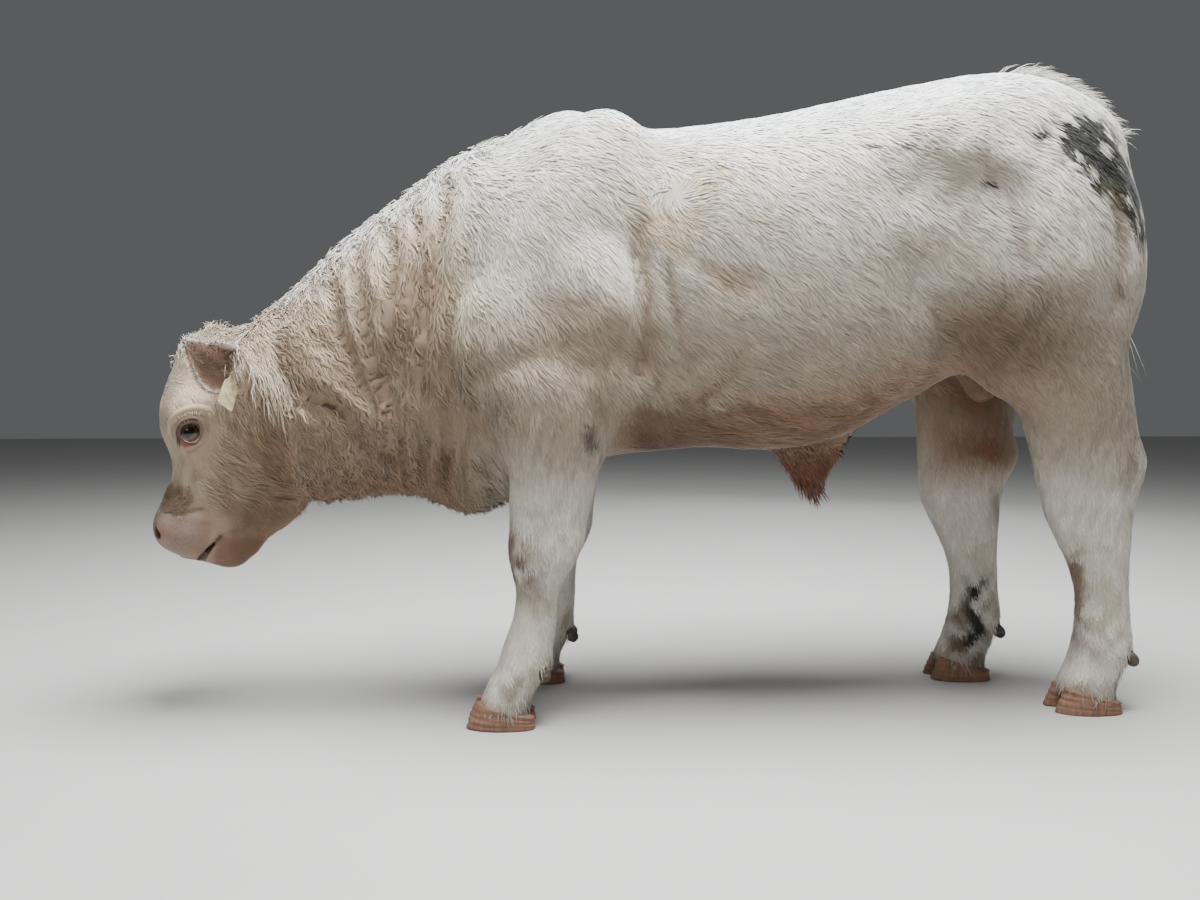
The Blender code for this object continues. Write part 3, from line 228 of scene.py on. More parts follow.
def trunkShapes():
    # The barrel, the neck, the dewlap, the sheath and the root of the tail
    barrel = [
        (-0.285, 0, 0.76, 0.040, 0.10, 0.16, 2.0),
        (-0.235, 0, 0.77, 0.105, 0.20, 0.24, 2.0),
        (-0.160, 0, 0.79, 0.140, 0.31, 0.29, 2.1),
        (-0.080, 0, 0.80, 0.165, bull["withers"] - 0.805, 0.80 - bull["chestFloor"], 2.1),
        (0.000, 0, 0.80, 0.190, bull["withers"] - 0.815, 0.80 - bull["chestFloor"], 2.1),
        (0.080, 0, 0.81, 0.218, 0.316, 0.315, 2.2),
        (0.200, 0, 0.82, 0.252, 0.312, 0.315, 2.3),
        (0.330, 0, 0.82, 0.272, 0.332, 0.320, 2.3),
        (0.450, 0, 0.83, 0.270, 0.348, 0.312, 2.4),
        (0.570, 0, 0.87, 0.252, 0.335, 0.290, 2.5),
        (0.700, 0, 0.91, 0.216, 0.318, 0.260, 2.5),
        (0.820, 0, 0.94, 0.180, 0.288, 0.240, 2.4),
        (0.920, 0, 0.94, 0.132, 0.240, 0.200, 2.2),
        (0.985, 0, 0.93, 0.070, 0.140, 0.130, 2.0),
    ]
    neck = [
        (-0.020, 0, 0.830, 0.150, 0.290, 0.26, 2.0),
        (-0.120, 0, 0.795, 0.158, 0.322, 0.27, 2.0),
        (-0.250, 0, 0.745, 0.142, 0.295, 0.26, 2.0),
        (-0.420, -0.002, 0.675, 0.118, 0.243, 0.245, 2.0),
        (-0.560, -0.006, 0.620, 0.102, 0.180, 0.215, 2.0),
        (-0.660, -0.012, 0.585, 0.090, 0.140, 0.170, 2.0),
        (-0.710, -0.018, 0.565, 0.070, 0.100, 0.120, 2.0),
    ]
    dewlap = [
        (-0.560, 0, 0.440, 0.030, 0.05, 0.040, 2.0),
        (-0.480, 0, 0.455, 0.034, 0.06, 0.042, 2.0),
        (-0.400, 0, 0.465, 0.036, 0.07, 0.045, 2.0),
        (-0.335, 0, 0.470, 0.046, 0.08, 0.070, 2.0),
        (-0.270, 0, 0.480, 0.060, 0.10, 0.105, 2.0),
        (-0.205, 0, 0.490, 0.066, 0.10, 0.100, 2.0),
        (-0.110, 0, 0.530, 0.070, 0.10, 0.080, 2.0),
        (-0.010, 0, 0.570, 0.080, 0.10, 0.070, 2.0),
    ]
    sheath = [
        (0.440, 0, 0.560, 0.060, 0.110, 0.080, 2.0),
        (0.432, 0, 0.505, 0.042, 0.088, 0.060, 2.0),
        (0.424, 0, 0.465, 0.030, 0.052, 0.042, 2.0),
        (0.420, 0, 0.438, 0.022, 0.030, 0.030, 2.0),
        (0.422, 0, 0.422, 0.012, 0.016, 0.016, 2.0),
    ]
    tailRoot = [
        (0.760, 0, 1.165, 0.050, 0.045, 0.040, 2.0),
        (0.860, 0, 1.175, 0.044, 0.046, 0.040, 2.0),
        (0.940, 0, 1.168, 0.037, 0.040, 0.036, 2.0),
        (0.995, 0, 1.135, 0.030, 0.034, 0.034, 2.0),
    ]
    slope = (-0.9335, 0, -0.3585)
    scrotum = Mass((0.770, 0, 0.655), (0.042, 0.040, 0.062), upright(-8), 0.03)
    return [
        scrotum,
        Loft(barrel, (1, 0, 0), upWay, 0.05),
        Loft(neck, slope, upWay, 0.09),
        Loft(dewlap, (1, 0, 0), upWay, 0.05),
        Loft(sheath, upWay, (-1, 0, 0), 0.03),
        Loft(tailRoot, (1, 0, -0.25), upWay, 0.05),
    ]


def shoulderShapes(side):
    return [
        Mass((-0.060, side * 0.135, 0.900), (0.120, 0.074, 0.250), upright(20, side * 6), 0.06),
        Mass((-0.185, side * 0.130, 0.700), (0.085, 0.080, 0.115), upright(20), 0.07),
        Mass((-0.010, side * 0.172, 0.770), (0.095, 0.072, 0.120), upright(-30), 0.045),
        Mass((-0.095, side * 0.158, 0.612), (0.108, 0.072, 0.125), upright(10), 0.070),
        Mass((0.020, side * 0.160, 0.640), (0.055, 0.055, 0.075), upright(-25), 0.040),
    ]


def skinFolds():
    # Creases of the neck, the shoulder, the flank and the thigh, and lobes of the brisket
    return [
        Fold(
            ((-0.287, 1.010), (-0.301, 0.918), (-0.323, 0.820), (-0.338, 0.710), (-0.339, 0.623)),
            0.013, 0.017,
        ),
        Fold(
            ((-0.352, 0.966), (-0.347, 0.885), (-0.359, 0.792), (-0.376, 0.699), (-0.380, 0.623)),
            0.012, 0.015,
        ),
        Fold(
            ((-0.395, 0.938), (-0.391, 0.841), (-0.398, 0.743), (-0.408, 0.656), (-0.400, 0.590)),
            0.012, 0.015,
        ),
        Fold(
            ((-0.461, 0.884), (-0.454, 0.797), (-0.440, 0.710), (-0.425, 0.639), (-0.405, 0.580)),
            0.011, 0.015,
        ),
        Fold(
            ((-0.508, 0.840), (-0.502, 0.786), (-0.486, 0.721), (-0.458, 0.655), (-0.430, 0.595)),
            0.010, 0.015,
        ),
        Fold(
            ((-0.608, 0.710), (-0.604, 0.655), (-0.572, 0.617), (-0.524, 0.595), (-0.486, 0.579)),
            0.011, 0.015,
        ),
        Fold(((-0.485, 0.567), (-0.441, 0.516), (-0.386, 0.482)), 0.009, 0.015),
        Fold(((-0.307, 0.510), (-0.296, 0.453), (-0.296, 0.402)), 0.009, 0.012, 0.0),
        Fold(((-0.262, 0.520), (-0.255, 0.447), (-0.258, 0.390)), 0.009, 0.012, 0.0),
        Fold(((-0.225, 0.500), (-0.214, 0.435), (-0.214, 0.390)), 0.008, 0.012, 0.0),
        Fold(((0.041, 0.880), (0.060, 0.786), (0.066, 0.707), (0.056, 0.654)), 0.009, 0.014),
        Fold(((0.094, 0.850), (0.118, 0.750), (0.143, 0.670)), 0.005, 0.014),
        Fold(
            ((-0.229, 0.622), (-0.192, 0.668), (-0.129, 0.692), (-0.070, 0.700), (-0.012, 0.680)),
            0.003, 0.022, 0.08,
        ),
        Fold(((0.597, 0.752), (0.662, 0.712), (0.727, 0.722), (0.778, 0.784)), 0.007, 0.018, 0.10),
        Fold(((0.778, 0.784), (0.806, 0.860), (0.815, 0.950)), 0.004, 0.022, 0.10),
        Fold(((0.590, 0.780), (0.604, 0.708), (0.611, 0.670)), 0.006, 0.016, 0.10),
        Fold(((0.214, 0.663), (0.183, 0.606), (0.133, 0.603)), 0.004, 0.012, 0.10),
    ]


def haunchShapes(side):
    return [
        Mass((0.628, side * 0.188, 1.082), (0.062, 0.050, 0.058), upright(0, side * 20), 0.06),
        Mass((0.800, side * 0.108, 1.070), (0.190, 0.106, 0.125), upright(0), 0.08),
        Mass((0.850, side * 0.156, 0.885), (0.150, 0.118, 0.232), upright(-4), 0.05),
        Mass((0.722, side * 0.184, 0.865), (0.125, 0.080, 0.150), upright(-10), 0.06),
        Mass((0.745, side * 0.150, 0.715), (0.085, 0.075, 0.120), upright(-24), 0.06),
        Mass((0.905, side * 0.143, 0.790), (0.085, 0.100, 0.150), upright(6), 0.04),
        Mass((0.930, side * 0.104, 0.900), (0.075, 0.078, 0.200), upright(2), 0.04),
        Mass((0.540, side * 0.285, 1.000), (0.060, 0.030, 0.050), upright(0), 0.06, True),
        Mass((0.560, side * 0.290, 0.760), (0.050, 0.035, 0.120), upright(-12), 0.05, True),
    ]


def foreLeg(side, reach):
    # A fore leg, from inside the upper arm down into the hoof. Reach slides the foot backward
    y = side * bull["foreStance"]
    stations = [
        (-0.060, y, 0.680, 0.060, 0.085, 0.085, 2.0),
        (-0.085, y, 0.600, 0.073, 0.100, 0.100, 2.1),
        (-0.090, y, 0.520, 0.068, 0.100, 0.098, 2.2),
        (-0.092, y, 0.470, 0.060, 0.085, 0.086, 2.2),
        (-0.098, y, 0.420, 0.054, 0.078, 0.080, 2.3),
        (-0.103, y, 0.375, 0.050, 0.072, 0.074, 2.4),
        (-0.108, y, 0.335, 0.052, 0.070, 0.072, 2.5),
        (-0.113, y, 0.300, 0.049, 0.060, 0.064, 2.4),
        (-0.119, y, 0.270, 0.041, 0.048, 0.051, 2.2),
        (-0.122, y, 0.245, 0.037, 0.042, 0.043, 2.2),
        (-0.129, y, 0.195, 0.036, 0.042, 0.043, 2.2),
        (-0.141, y, 0.150, 0.041, 0.048, 0.047, 2.2),
        (-0.153, y, 0.108, 0.047, 0.053, 0.048, 2.3),
        (-0.171, y, 0.075, 0.048, 0.047, 0.047, 2.4),
        (-0.182, y, 0.045, 0.052, 0.047, 0.048, 2.5),
        (-0.187, y, 0.005, 0.053, 0.047, 0.049, 2.5),
    ]
    rows = [(row[0] + reach * (0.68 - row[2]) / 0.68, *row[1:]) for row in stations]
    return Loft(rows, upWay, (1, 0, 0), 0.05)


def hindLeg(side, reach):
    # A hind leg, from inside the thigh down into the hoof. Reach slides the hock and foot forward
    y = side * bull["hindStance"]
    stations = [
        (0.800, side * 0.150, 0.760, 0.085, 0.120, 0.110, 2.0, 0.20),
        (0.850, side * 0.150, 0.670, 0.085, 0.130, 0.118, 2.0, 0.35),
        (0.892, side * 0.142, 0.590, 0.070, 0.112, 0.112, 2.1, 0.60),
        (0.912, side * 0.134, 0.530, 0.060, 0.110, 0.108, 2.1, 0.75),
        (0.928, side * 0.128, 0.480, 0.053, 0.115, 0.108, 2.2, 0.85),
        (0.932, side * 0.124, 0.425, 0.048, 0.098, 0.096, 2.3, 0.95),
        (0.936, y, 0.380, 0.045, 0.086, 0.084, 2.4, 1.0),
        (0.945, y, 0.335, 0.043, 0.074, 0.072, 2.4, 1.0),
        (0.957, y, 0.290, 0.040, 0.060, 0.061, 2.3, 1.0),
        (0.965, y, 0.240, 0.037, 0.053, 0.053, 2.2, 1.0),
        (0.969, y, 0.180, 0.038, 0.053, 0.053, 2.2, 1.0),
        (0.968, y, 0.130, 0.045, 0.058, 0.056, 2.3, 1.0),
        (0.955, y, 0.088, 0.048, 0.052, 0.054, 2.4, 1.0),
        (0.941, y, 0.050, 0.052, 0.050, 0.054, 2.5, 1.0),
        (0.936, y, 0.005, 0.053, 0.050, 0.054, 2.5, 1.0),
    ]
    return Loft([(row[0] - reach * row[7], *row[1:7]) for row in stations], upWay, (1, 0, 0), 0.05)


legs = {
    "fore_left": dict(shape=foreLeg, side=-1, reach=0.0, foot=(-0.187, bull["foreStance"])),
    "fore_right": dict(shape=foreLeg, side=1, reach=0.060, foot=(-0.127, bull["foreStance"])),
    "hind_left": dict(shape=hindLeg, side=-1, reach=0.0, foot=(0.936, bull["hindStance"])),
    "hind_right": dict(shape=hindLeg, side=1, reach=0.150, foot=(0.786, bull["hindStance"])),
}


def headShapes():
    # Skull, jaw, cheeks, brows, muzzle, nostril wings and the roots of the ears
    skull = [
        (-0.030, -0.035, 0.045, 0.070, 0.07, 2.0),
        (0.015, -0.035, 0.068, 0.104, 0.11, 2.2),
        (0.069, -0.035, 0.083, 0.117, 0.13, 2.4),
        (0.120, -0.035, 0.088, 0.123, 0.14, 2.4),
        (0.155, -0.038, 0.086, 0.121, 0.14, 2.4),
        (0.190, -0.040, 0.076, 0.110, 0.13, 2.2),
        (0.223, -0.045, 0.063, 0.094, 0.12, 2.1),
        (0.255, -0.048, 0.056, 0.088, 0.11, 2.1),
        (0.300, -0.048, 0.054, 0.095, 0.095, 2.1),
        (0.340, -0.048, 0.062, 0.100, 0.080, 2.3),
        (0.370, -0.048, 0.062, 0.090, 0.070, 2.3),
        (0.392, -0.050, 0.052, 0.074, 0.055, 2.3),
        (0.407, -0.052, 0.030, 0.045, 0.034, 2.0),
    ]
    rows = [(*headPoint(a, 0, h), side, up, down, power) for a, h, side, up, down, power in skull]
    shapes = [Loft(rows, faceWay, browWay, 0.04)]
    jaw = [
        (0.398, -0.085, 0.020, 0.020, 0.020),
        (0.380, -0.105, 0.038, 0.034, 0.034),
        (0.345, -0.125, 0.042, 0.040, 0.034),
        (0.300, -0.155, 0.048, 0.050, 0.046),
        (0.240, -0.180, 0.056, 0.060, 0.050),
        (0.170, -0.195, 0.058, 0.075, 0.045),
        (0.110, -0.190, 0.050, 0.075, 0.040),
    ]
    rows = [(*headPoint(a, 0, h), side, up, down, 2.2) for a, h, side, up, down in jaw]
    shapes.append(Loft(rows, faceWay, browWay, 0.03))
    shapes.append(headMass(0.360, 0.0, 0.000, (0.040, 0.070, 0.050), 0.03))
    shapes.append(headMass(0.384, 0.0, -0.096, (0.030, 0.048, 0.034), 0.02))
    for side in (-1, 1):
        shapes.append(headMass(0.165, side * 0.062, -0.110, (0.085, 0.034, 0.075), 0.05, -20))
        shapes.append(headMass(0.140, side * 0.068, 0.028, (0.042, 0.028, 0.034), 0.04))
        shapes.append(headMass(0.230, side * 0.048, -0.012, (0.065, 0.018, 0.026), 0.04, -10))
        shapes.append(headMass(0.352, side * 0.046, 0.028, (0.024, 0.020, 0.022), 0.02))
        shapes.append(headMass(0.058, side * 0.083, -0.056, (0.030, 0.036, 0.030), 0.03))
        shapes.append(headMass(0.205, side * 0.098, 0.030, (0.030, 0.014, 0.016), 0.03, 0, True))
    return shapes


def tailShape():
    line = [
        (1.0080, 1.1290, 0.0300, 0.0330),
        (1.0230, 1.1000, 0.0260, 0.0280),
        (1.0320, 1.0500, 0.0215, 0.0230),
        (1.0360, 0.9700, 0.0185, 0.0195),
        (1.0380, 0.8800, 0.0160, 0.0170),
        (1.0380, 0.7900, 0.0145, 0.0155),
        (1.0360, 0.7200, 0.0135, 0.0145),
        (1.0340, 0.6600, 0.0120, 0.0130),
        (1.0320, 0.6000, 0.0090, 0.0100),
        (1.0310, 0.5750, 0.0050, 0.0050),
    ]
    return Loft([(x, 0, z, side, deep, deep, 2.0) for x, z, side, deep in line], upWay, (1, 0, 0), 0.012)


def buildField():
    # All the shapes of the body, by group
    shapes = {"trunk": trunkShapes(), "head": headShapes()}
    shapes["shoulders"] = shoulderShapes(-1) + shoulderShapes(1)
    between = Mass((1.004, 0, 0.830), (0.046, 0.020, 0.200), upright(0), 0.03, True)
    shapes["haunches"] = haunchShapes(-1) + haunchShapes(1) + [between]
    for name, leg in legs.items():
        shapes[name] = [leg["shape"](leg["side"], leg["reach"])]
    shapes["tail"] = [tailShape()]
    return shapes


folds = skinFolds()


def smoothLeast(a, b, blend):
    near = np.maximum(blend - np.abs(a - b), 0) / blend
    return np.minimum(a, b) - near * near * blend / 4


def bodyField(shapes, points):  # each shape is asked only about the points near it
    total = np.full(len(points), 1.0)
    for hollow in (False, True):
        for group in shapes.values():
            for shape in group:
                if shape.hollow != hollow:
                    continue
                low, high = shape.reach()
                near = np.all((points > low) & (points < high), axis=1)
                if not near.any():
                    continue
                value = shape.field(points[near])
                if hollow:
                    total[near] = -smoothLeast(-total[near], value, shape.blend)
                else:
                    total[near] = smoothLeast(total[near], value, shape.blend)
    for fold in folds:
        total = total + fold.relief(points)
    return total + finerRelief(points)


def ramp(value, start, end):  # 0 before start, 1 after end, smooth between
    t = np.clip((value - start) / (end - start), 0, 1)
    return t * t * (3 - 2 * t)


def ripple(points, size, seed, waves=7):  # a smooth random value of about -1 to 1
    draw = np.random.default_rng(seed)
    ways = draw.normal(size=(waves, 3))
    ways /= np.linalg.norm(ways, axis=1)[:, None]
    pace = 2 * math.pi / (size * draw.uniform(0.7, 1.5, waves))
    phase = draw.uniform(0, 2 * math.pi, waves)
    return np.sin((points @ ways.T) * pace + phase).sum(axis=1) / math.sqrt(waves) * 0.85


finerFolds = [  # depth (under 0 for a ridge), half width, line in x and z
    (0.0070, 0.018, ((0.054, 0.911), (0.061, 0.847), (0.068, 0.776), (0.072, 0.708), (0.060, 0.652))),
    (-0.0045, 0.015, ((0.080, 0.900), (0.088, 0.840), (0.094, 0.776), (0.100, 0.715), (0.096, 0.660))),
    (0.0050, 0.012, ((0.101, 0.839), (0.115, 0.776), (0.126, 0.715), (0.139, 0.653))),
    (-0.0030, 0.013, ((0.122, 0.830), (0.136, 0.770), (0.150, 0.700))),
    (0.0040, 0.012, ((0.145, 0.790), (0.163, 0.723), (0.175, 0.685))),
    (0.0060, 0.011, ((0.226, 0.680), (0.206, 0.636), (0.187, 0.614), (0.169, 0.604), (0.140, 0.600))),
    (-0.0030, 0.016, ((0.250, 0.640), (0.215, 0.600), (0.165, 0.578))),
    (0.0050, 0.030, ((0.160, 0.840), (0.205, 0.808), (0.240, 0.815))),
    (-0.0050, 0.024, ((-0.228, 1.017), (-0.258, 0.912), (-0.276, 0.801), (-0.262, 0.708))),
    (-0.0045, 0.040, ((-0.060, 0.720), (-0.020, 0.735), (0.015, 0.770))),
    (-0.0200, 0.050, ((0.610, 1.035), (0.660, 1.030), (0.700, 1.030))),
    (0.0040, 0.022, ((-0.220, 0.650), (-0.182, 0.668), (-0.119, 0.676), (-0.046, 0.668))),
    (0.0030, 0.024, ((0.500, 0.930), (0.530, 0.830), (0.540, 0.760))),
    (0.0050, 0.026, ((0.650, 1.020), (0.700, 0.960), (0.720, 0.860))),
    (0.0040, 0.028, ((0.540, 0.800), (0.585, 0.765), (0.633, 0.745), (0.683, 0.740))),
    (-0.0070, 0.035, ((0.730, 0.755), (0.775, 0.790), (0.800, 0.830))),
    (-0.0035, 0.035, ((0.800, 1.010), (0.820, 0.930), (0.810, 0.820))),
    (0.0050, 0.018, ((0.880, 1.010), (0.900, 0.940), (0.905, 0.860), (0.895, 0.780))),
    (-0.0040, 0.014, ((0.915, 1.000), (0.930, 0.920), (0.932, 0.840))),
    (0.0040, 0.018, ((0.600, 1.060), (0.550, 1.000), (0.520, 0.960))),
    (0.0040, 0.016, ((0.880, 0.560), (0.930, 0.500), (0.945, 0.440))),
    (-0.0035, 0.013, ((0.955, 0.520), (0.975, 0.440), (0.965, 0.370))),
    (-0.0025, 0.012, ((-0.125, 0.560), (-0.128, 0.470), (-0.120, 0.420))),
    (0.0026, 0.012, ((-0.150, 0.400), (-0.110, 0.395), (-0.070, 0.410))),
    (0.0026, 0.012, ((-0.160, 0.300), (-0.120, 0.292), (-0.080, 0.300))),
]


def finerRelief(points):  # muscles and wrinkles too fine for the solids
    x, y, z = points.T
    result = np.zeros(len(points))
    for depth, width, line in finerFolds:
        low, high = np.min(line, axis=0) - 3 * width, np.max(line, axis=0) + 3 * width
        near = (x > low[0]) & (x < high[0]) & (z > low[1]) & (z < high[1]) & (np.abs(y) > 0.03)
        result[near] += depth * np.exp(-((lineDistance(points[near][:, (0, 2)], line) / width) ** 2))
    neck = (x < -0.18) & (x > -0.66) & (np.abs(y) > 0.02)
    local = points[neck]
    phase = columnPhase(local) + 0.16 * ripple(local, 0.10, 41)
    fade = (
        ramp(-local[:, 0], 0.20, 0.30) * ramp(local[:, 0], -0.66, -0.58)
        * ramp(np.abs(local[:, 1]), 0.03, 0.07)
    )
    fade *= ramp(-local[:, 2], -1.02, -0.86)
    waves = 0.0066 * np.cos(2 * math.pi * phase) + 0.0022 * np.cos(6 * math.pi * phase + 1.0)
    result[neck] += waves * fade * (0.75 + 0.35 * ripple(local, 0.14, 42))
    return result


def columnPhase(points):  # counts the neck's creases, from the shoulder forward
    x, z = points[:, 0], points[:, 2]
    lines = [np.array(fold.line) for fold in folds[:6]]
    places = [np.interp(-z, -line[:, 1], line[:, 0]) for line in lines]
    phase = np.where(x > places[0], (places[0] - x) / 0.055, 0.0)
    for i in range(5):
        share = (places[i] - x) / np.maximum(places[i] - places[i + 1], 0.01)
        phase = np.where((x <= places[i]) & (x > places[i + 1]), i + share, phase)
    return np.where(x <= places[5], 5 + (places[5] - x) / 0.055, phase)


def lineDistance(points, line):  # from points to a bent line, in as many dimensions as both have
    nearest = np.full(len(points), 1e9)
    line = np.array(line, float)
    for a, b in zip(line, line[1:]):
        along = b - a
        share = np.clip((points - a) @ along / (along @ along), 0, 1)
        nearest = np.minimum(nearest, np.linalg.norm(points - a - share[:, None] * along, axis=1))
    return nearest


def headPlace(points):  # along the face, across it and out of it, for each point
    return (points - np.array(poll)) @ np.array([faceWay, acrossWay, browWay]).T


def readPoints(mesh):
    points = np.empty(len(mesh.vertices) * 3, np.float32)
    mesh.vertices.foreach_get("co", points)
    return points.reshape(-1, 3).astype(np.float64)


def writePoints(mesh, points):
    mesh.vertices.foreach_set("co", points.astype(np.float32).ravel())
    mesh.update()


def readNormals(mesh):
    normals = np.empty(len(mesh.vertices) * 3, np.float32)
    mesh.vertex_normals.foreach_get("vector", normals)
    return normals.reshape(-1, 3).astype(np.float64)


def newObject(name, mesh):
    obj = bpy.data.objects.new(name, mesh)
    bpy.context.scene.collection.objects.link(obj)
    return obj


def baked(obj):  # the object's modifiers become its mesh
    graph = bpy.context.evaluated_depsgraph_get()
    mesh = bpy.data.meshes.new_from_object(obj.evaluated_get(graph))
    old = obj.data
    obj.modifiers.clear()
    obj.data = mesh
    bpy.data.meshes.remove(old)
    return obj


def relaxed(obj, iterations):
    smooth = obj.modifiers.new("smooth", "SMOOTH")
    smooth.factor = 0.5
    smooth.iterations = iterations
    return baked(obj)


def remeshed(obj, voxel, smoothing):
    remesh = obj.modifiers.new("remesh", "REMESH")
    remesh.mode = "VOXEL"
    remesh.voxel_size = voxel
    return relaxed(obj, smoothing)


def settle(mesh, field, rounds=3, reach=0.001):  # moves the points onto the zero of a field
    points = readPoints(mesh)
    for _ in range(rounds):
        value = field(points)
        slope = np.empty_like(points)
        for axis in range(3):
            moved = points.copy()
            moved[:, axis] += reach
            slope[:, axis] = (field(moved) - value) / reach
        steep = np.maximum(np.sum(slope**2, axis=1), 0.05)
        step = slope * (value / steep)[:, None]
        length = np.linalg.norm(step, axis=1)
        points -= step * np.minimum(1, 0.012 / np.maximum(length, 1e-9))[:, None]
    writePoints(mesh, points)


def meshOf(name, bm):  # the bmesh is spent
    mesh = bpy.data.meshes.new(name)
    bm.to_mesh(mesh)
    bm.free()
    return mesh


def ringMesh(name, rings):  # a closed surface through rings of equal count
    bm = bmesh.new()
    rows = [[bm.verts.new(place) for place in ring] for ring in rings]
    for first, second in zip(rows, rows[1:]):
        count = len(first)
        for i in range(count):
            k = (i + 1) % count
            bm.faces.new((first[i], first[k], second[k], second[i]))
    bm.faces.new(rows[0])
    bm.faces.new(rows[-1])
    bmesh.ops.recalc_face_normals(bm, faces=bm.faces)
    return meshOf(name, bm)


def joinedMesh(name, meshes):
    bm = bmesh.new()
    for mesh in meshes:
        bm.from_mesh(mesh)
    return meshOf(name, bm)


# The skin

skinSet = {
    "bodyVoxel": 0.0078,
    "headVoxel": 0.0027,
    "faceVoxel": 0.0022,
    "join": Vector((-0.585, 0.0, 0.60)),  # where the fine head meets the body's mesh, within the neck
    "joinWay": Vector((0.970, 0.10, 0.10)).normalized(),
    "joinGap": 0.006,
}
shapes = buildField()


def headWeight(points):  # 1 on the head, 0 on the neck
    return ramp(-(points - np.array(skinSet["join"])) @ np.array(skinSet["joinWay"]), 0.0, 0.06)


def neckWeight(points):
    return (1 - headWeight(points)) * ramp(-points[:, 0], 0.20, 0.32)


def coatDepth(points):  # how far the skin lies under the coat's surface
    head = headWeight(points)
    neck = neckWeight(points)
    place = headPlace(points)
    face = ramp(place[:, 0], 0.08, 0.20)
    depth = 0.0040 + 0.0035 * neck - 0.0010 * head * (1 - face) - 0.0030 * head * face
    low = ramp(-points[:, 2], -0.50, -0.30)
    return depth - 0.0012 * low * (1 - head)


def bodySkin(points):
    return bodyField(shapes, points) + coatDepth(points)


faceLines = [  # creases (depth over 0) and ridges of the face: along, across on either side, out
    (
        0.0034, 0.0032,
        (
            (0.324, 0.000, 0.056), (0.324, 0.022, 0.052), (0.325, 0.041, 0.037), (0.321, 0.053, 0.012),
            (0.307, 0.058, -0.022)
        )
    ),
    (
        0.0024, 0.0026,
        ((0.311, 0.004, 0.048), (0.314, 0.030, 0.042), (0.309, 0.047, 0.022), (0.297, 0.054, -0.004))
    ),
    (-0.0014, 0.0030, ((0.305, 0.006, 0.048), (0.306, 0.034, 0.038), (0.301, 0.048, 0.016))),
    (
        0.0020, 0.0024,
        ((0.299, 0.006, 0.045), (0.300, 0.032, 0.038), (0.295, 0.047, 0.018), (0.284, 0.053, -0.008))
    ),
    (0.0018, 0.0024, ((0.287, 0.010, 0.043), (0.288, 0.030, 0.038), (0.283, 0.044, 0.022))),
    (0.0014, 0.0024, ((0.275, 0.012, 0.041), (0.277, 0.030, 0.036), (0.272, 0.043, 0.018))),
    (0.0012, 0.0030, ((0.262, 0.016, 0.040), (0.263, 0.034, 0.032))),
    (
        -0.0022, 0.0060,
        ((0.208, 0.074, 0.026), (0.232, 0.060, 0.020), (0.262, 0.048, 0.016), (0.292, 0.046, 0.010))
    ),
    (0.0016, 0.0040, ((0.212, 0.082, 0.010), (0.240, 0.068, 0.002), (0.270, 0.056, -0.002))),
    (0.0018, 0.0045, ((0.117, 0.060, 0.048), (0.120, 0.078, 0.036), (0.126, 0.090, 0.018))),
    (0.0014, 0.0040, ((0.104, 0.052, 0.056), (0.105, 0.074, 0.044), (0.110, 0.090, 0.024))),
    (-0.0020, 0.0090, ((0.215, 0.078, -0.060), (0.255, 0.066, -0.078), (0.300, 0.056, -0.094))),
    (0.0024, 0.0070, ((0.150, 0.088, -0.050), (0.200, 0.082, -0.052), (0.250, 0.066, -0.060))),
    (0.0022, 0.0050, ((0.345, 0.052, -0.074), (0.338, 0.054, -0.092), (0.322, 0.056, -0.112))),
    (0.0016, 0.0040, ((0.402, 0.000, 0.018), (0.404, 0.000, -0.004), (0.402, 0.000, -0.026))),
    (0.0018, 0.0050, ((0.350, 0.030, 0.052), (0.372, 0.028, 0.044), (0.390, 0.022, 0.028))),
]


def faceRelief(points):
    place = headPlace(points)
    place[:, 1] = np.abs(place[:, 1])
    result = np.zeros(len(points))
    near = (place[:, 0] > 0.06) & (headWeight(points) > 0.5)
    local = place[near]
    relief = np.zeros(len(local))
    for depth, width, line in faceLines:
        relief += depth * np.exp(-((lineDistance(local, line) / width) ** 2))
    fine = (
        ramp(local[:, 0], 0.25, 0.29) * (1 - ramp(local[:, 0], 0.325, 0.34))
        * ramp(local[:, 2], -0.03, 0.02)
    )
    relief += 0.0006 * fine * np.sin(local[:, 0] * 2 * math.pi / 0.0062 + 3 * np.sin(local[:, 1] * 110))
    result[near] = relief
    return result


def headSkin(points):
    return bodyField(shapes, points) + coatDepth(points) + faceRelief(points)


def roughMesh(name, groups):
    bm = bmesh.new()
    for group in groups:
        for shape in group:
            if not shape.hollow:
                shape.rough(bm)
    bmesh.ops.recalc_face_normals(bm, faces=bm.faces)
    return meshOf(name, bm)


def clay(name, groups, voxel, field):
    obj = newObject(name, roughMesh(name, groups))
    remeshed(obj, voxel, 5)
    settle(obj.data, field, 3)
    relaxed(obj, 2)
    settle(obj.data, field, 1)
    return obj


# The eyes' seats, lids, nostrils, mouth and ears are cut into or added to the head before its last remesh

lids = {
    "long": 0.0265,  # half the opening along the slant
    "high": 0.0190,
    "rim": 0.0016,
    "crease": 0.0030,
    "brow": 0.0032,
}


def eyeFrame(side):
    along, across, out = eyeSeat
    centre = headPoint(along, side * across, out)
    gaze = (acrossWay * side + browWay * 0.28 + faceWay * 0.04).normalized()
    slant = (faceWay * 0.82 + browWay * 0.57).normalized()  # from the outer corner to the inner one
    slant = (slant - gaze * slant.dot(gaze)).normalized()
    lift = gaze.cross(slant)
    if lift.dot(faceWay) > 0:
        lift = -lift
    return centre, gaze, slant, lift


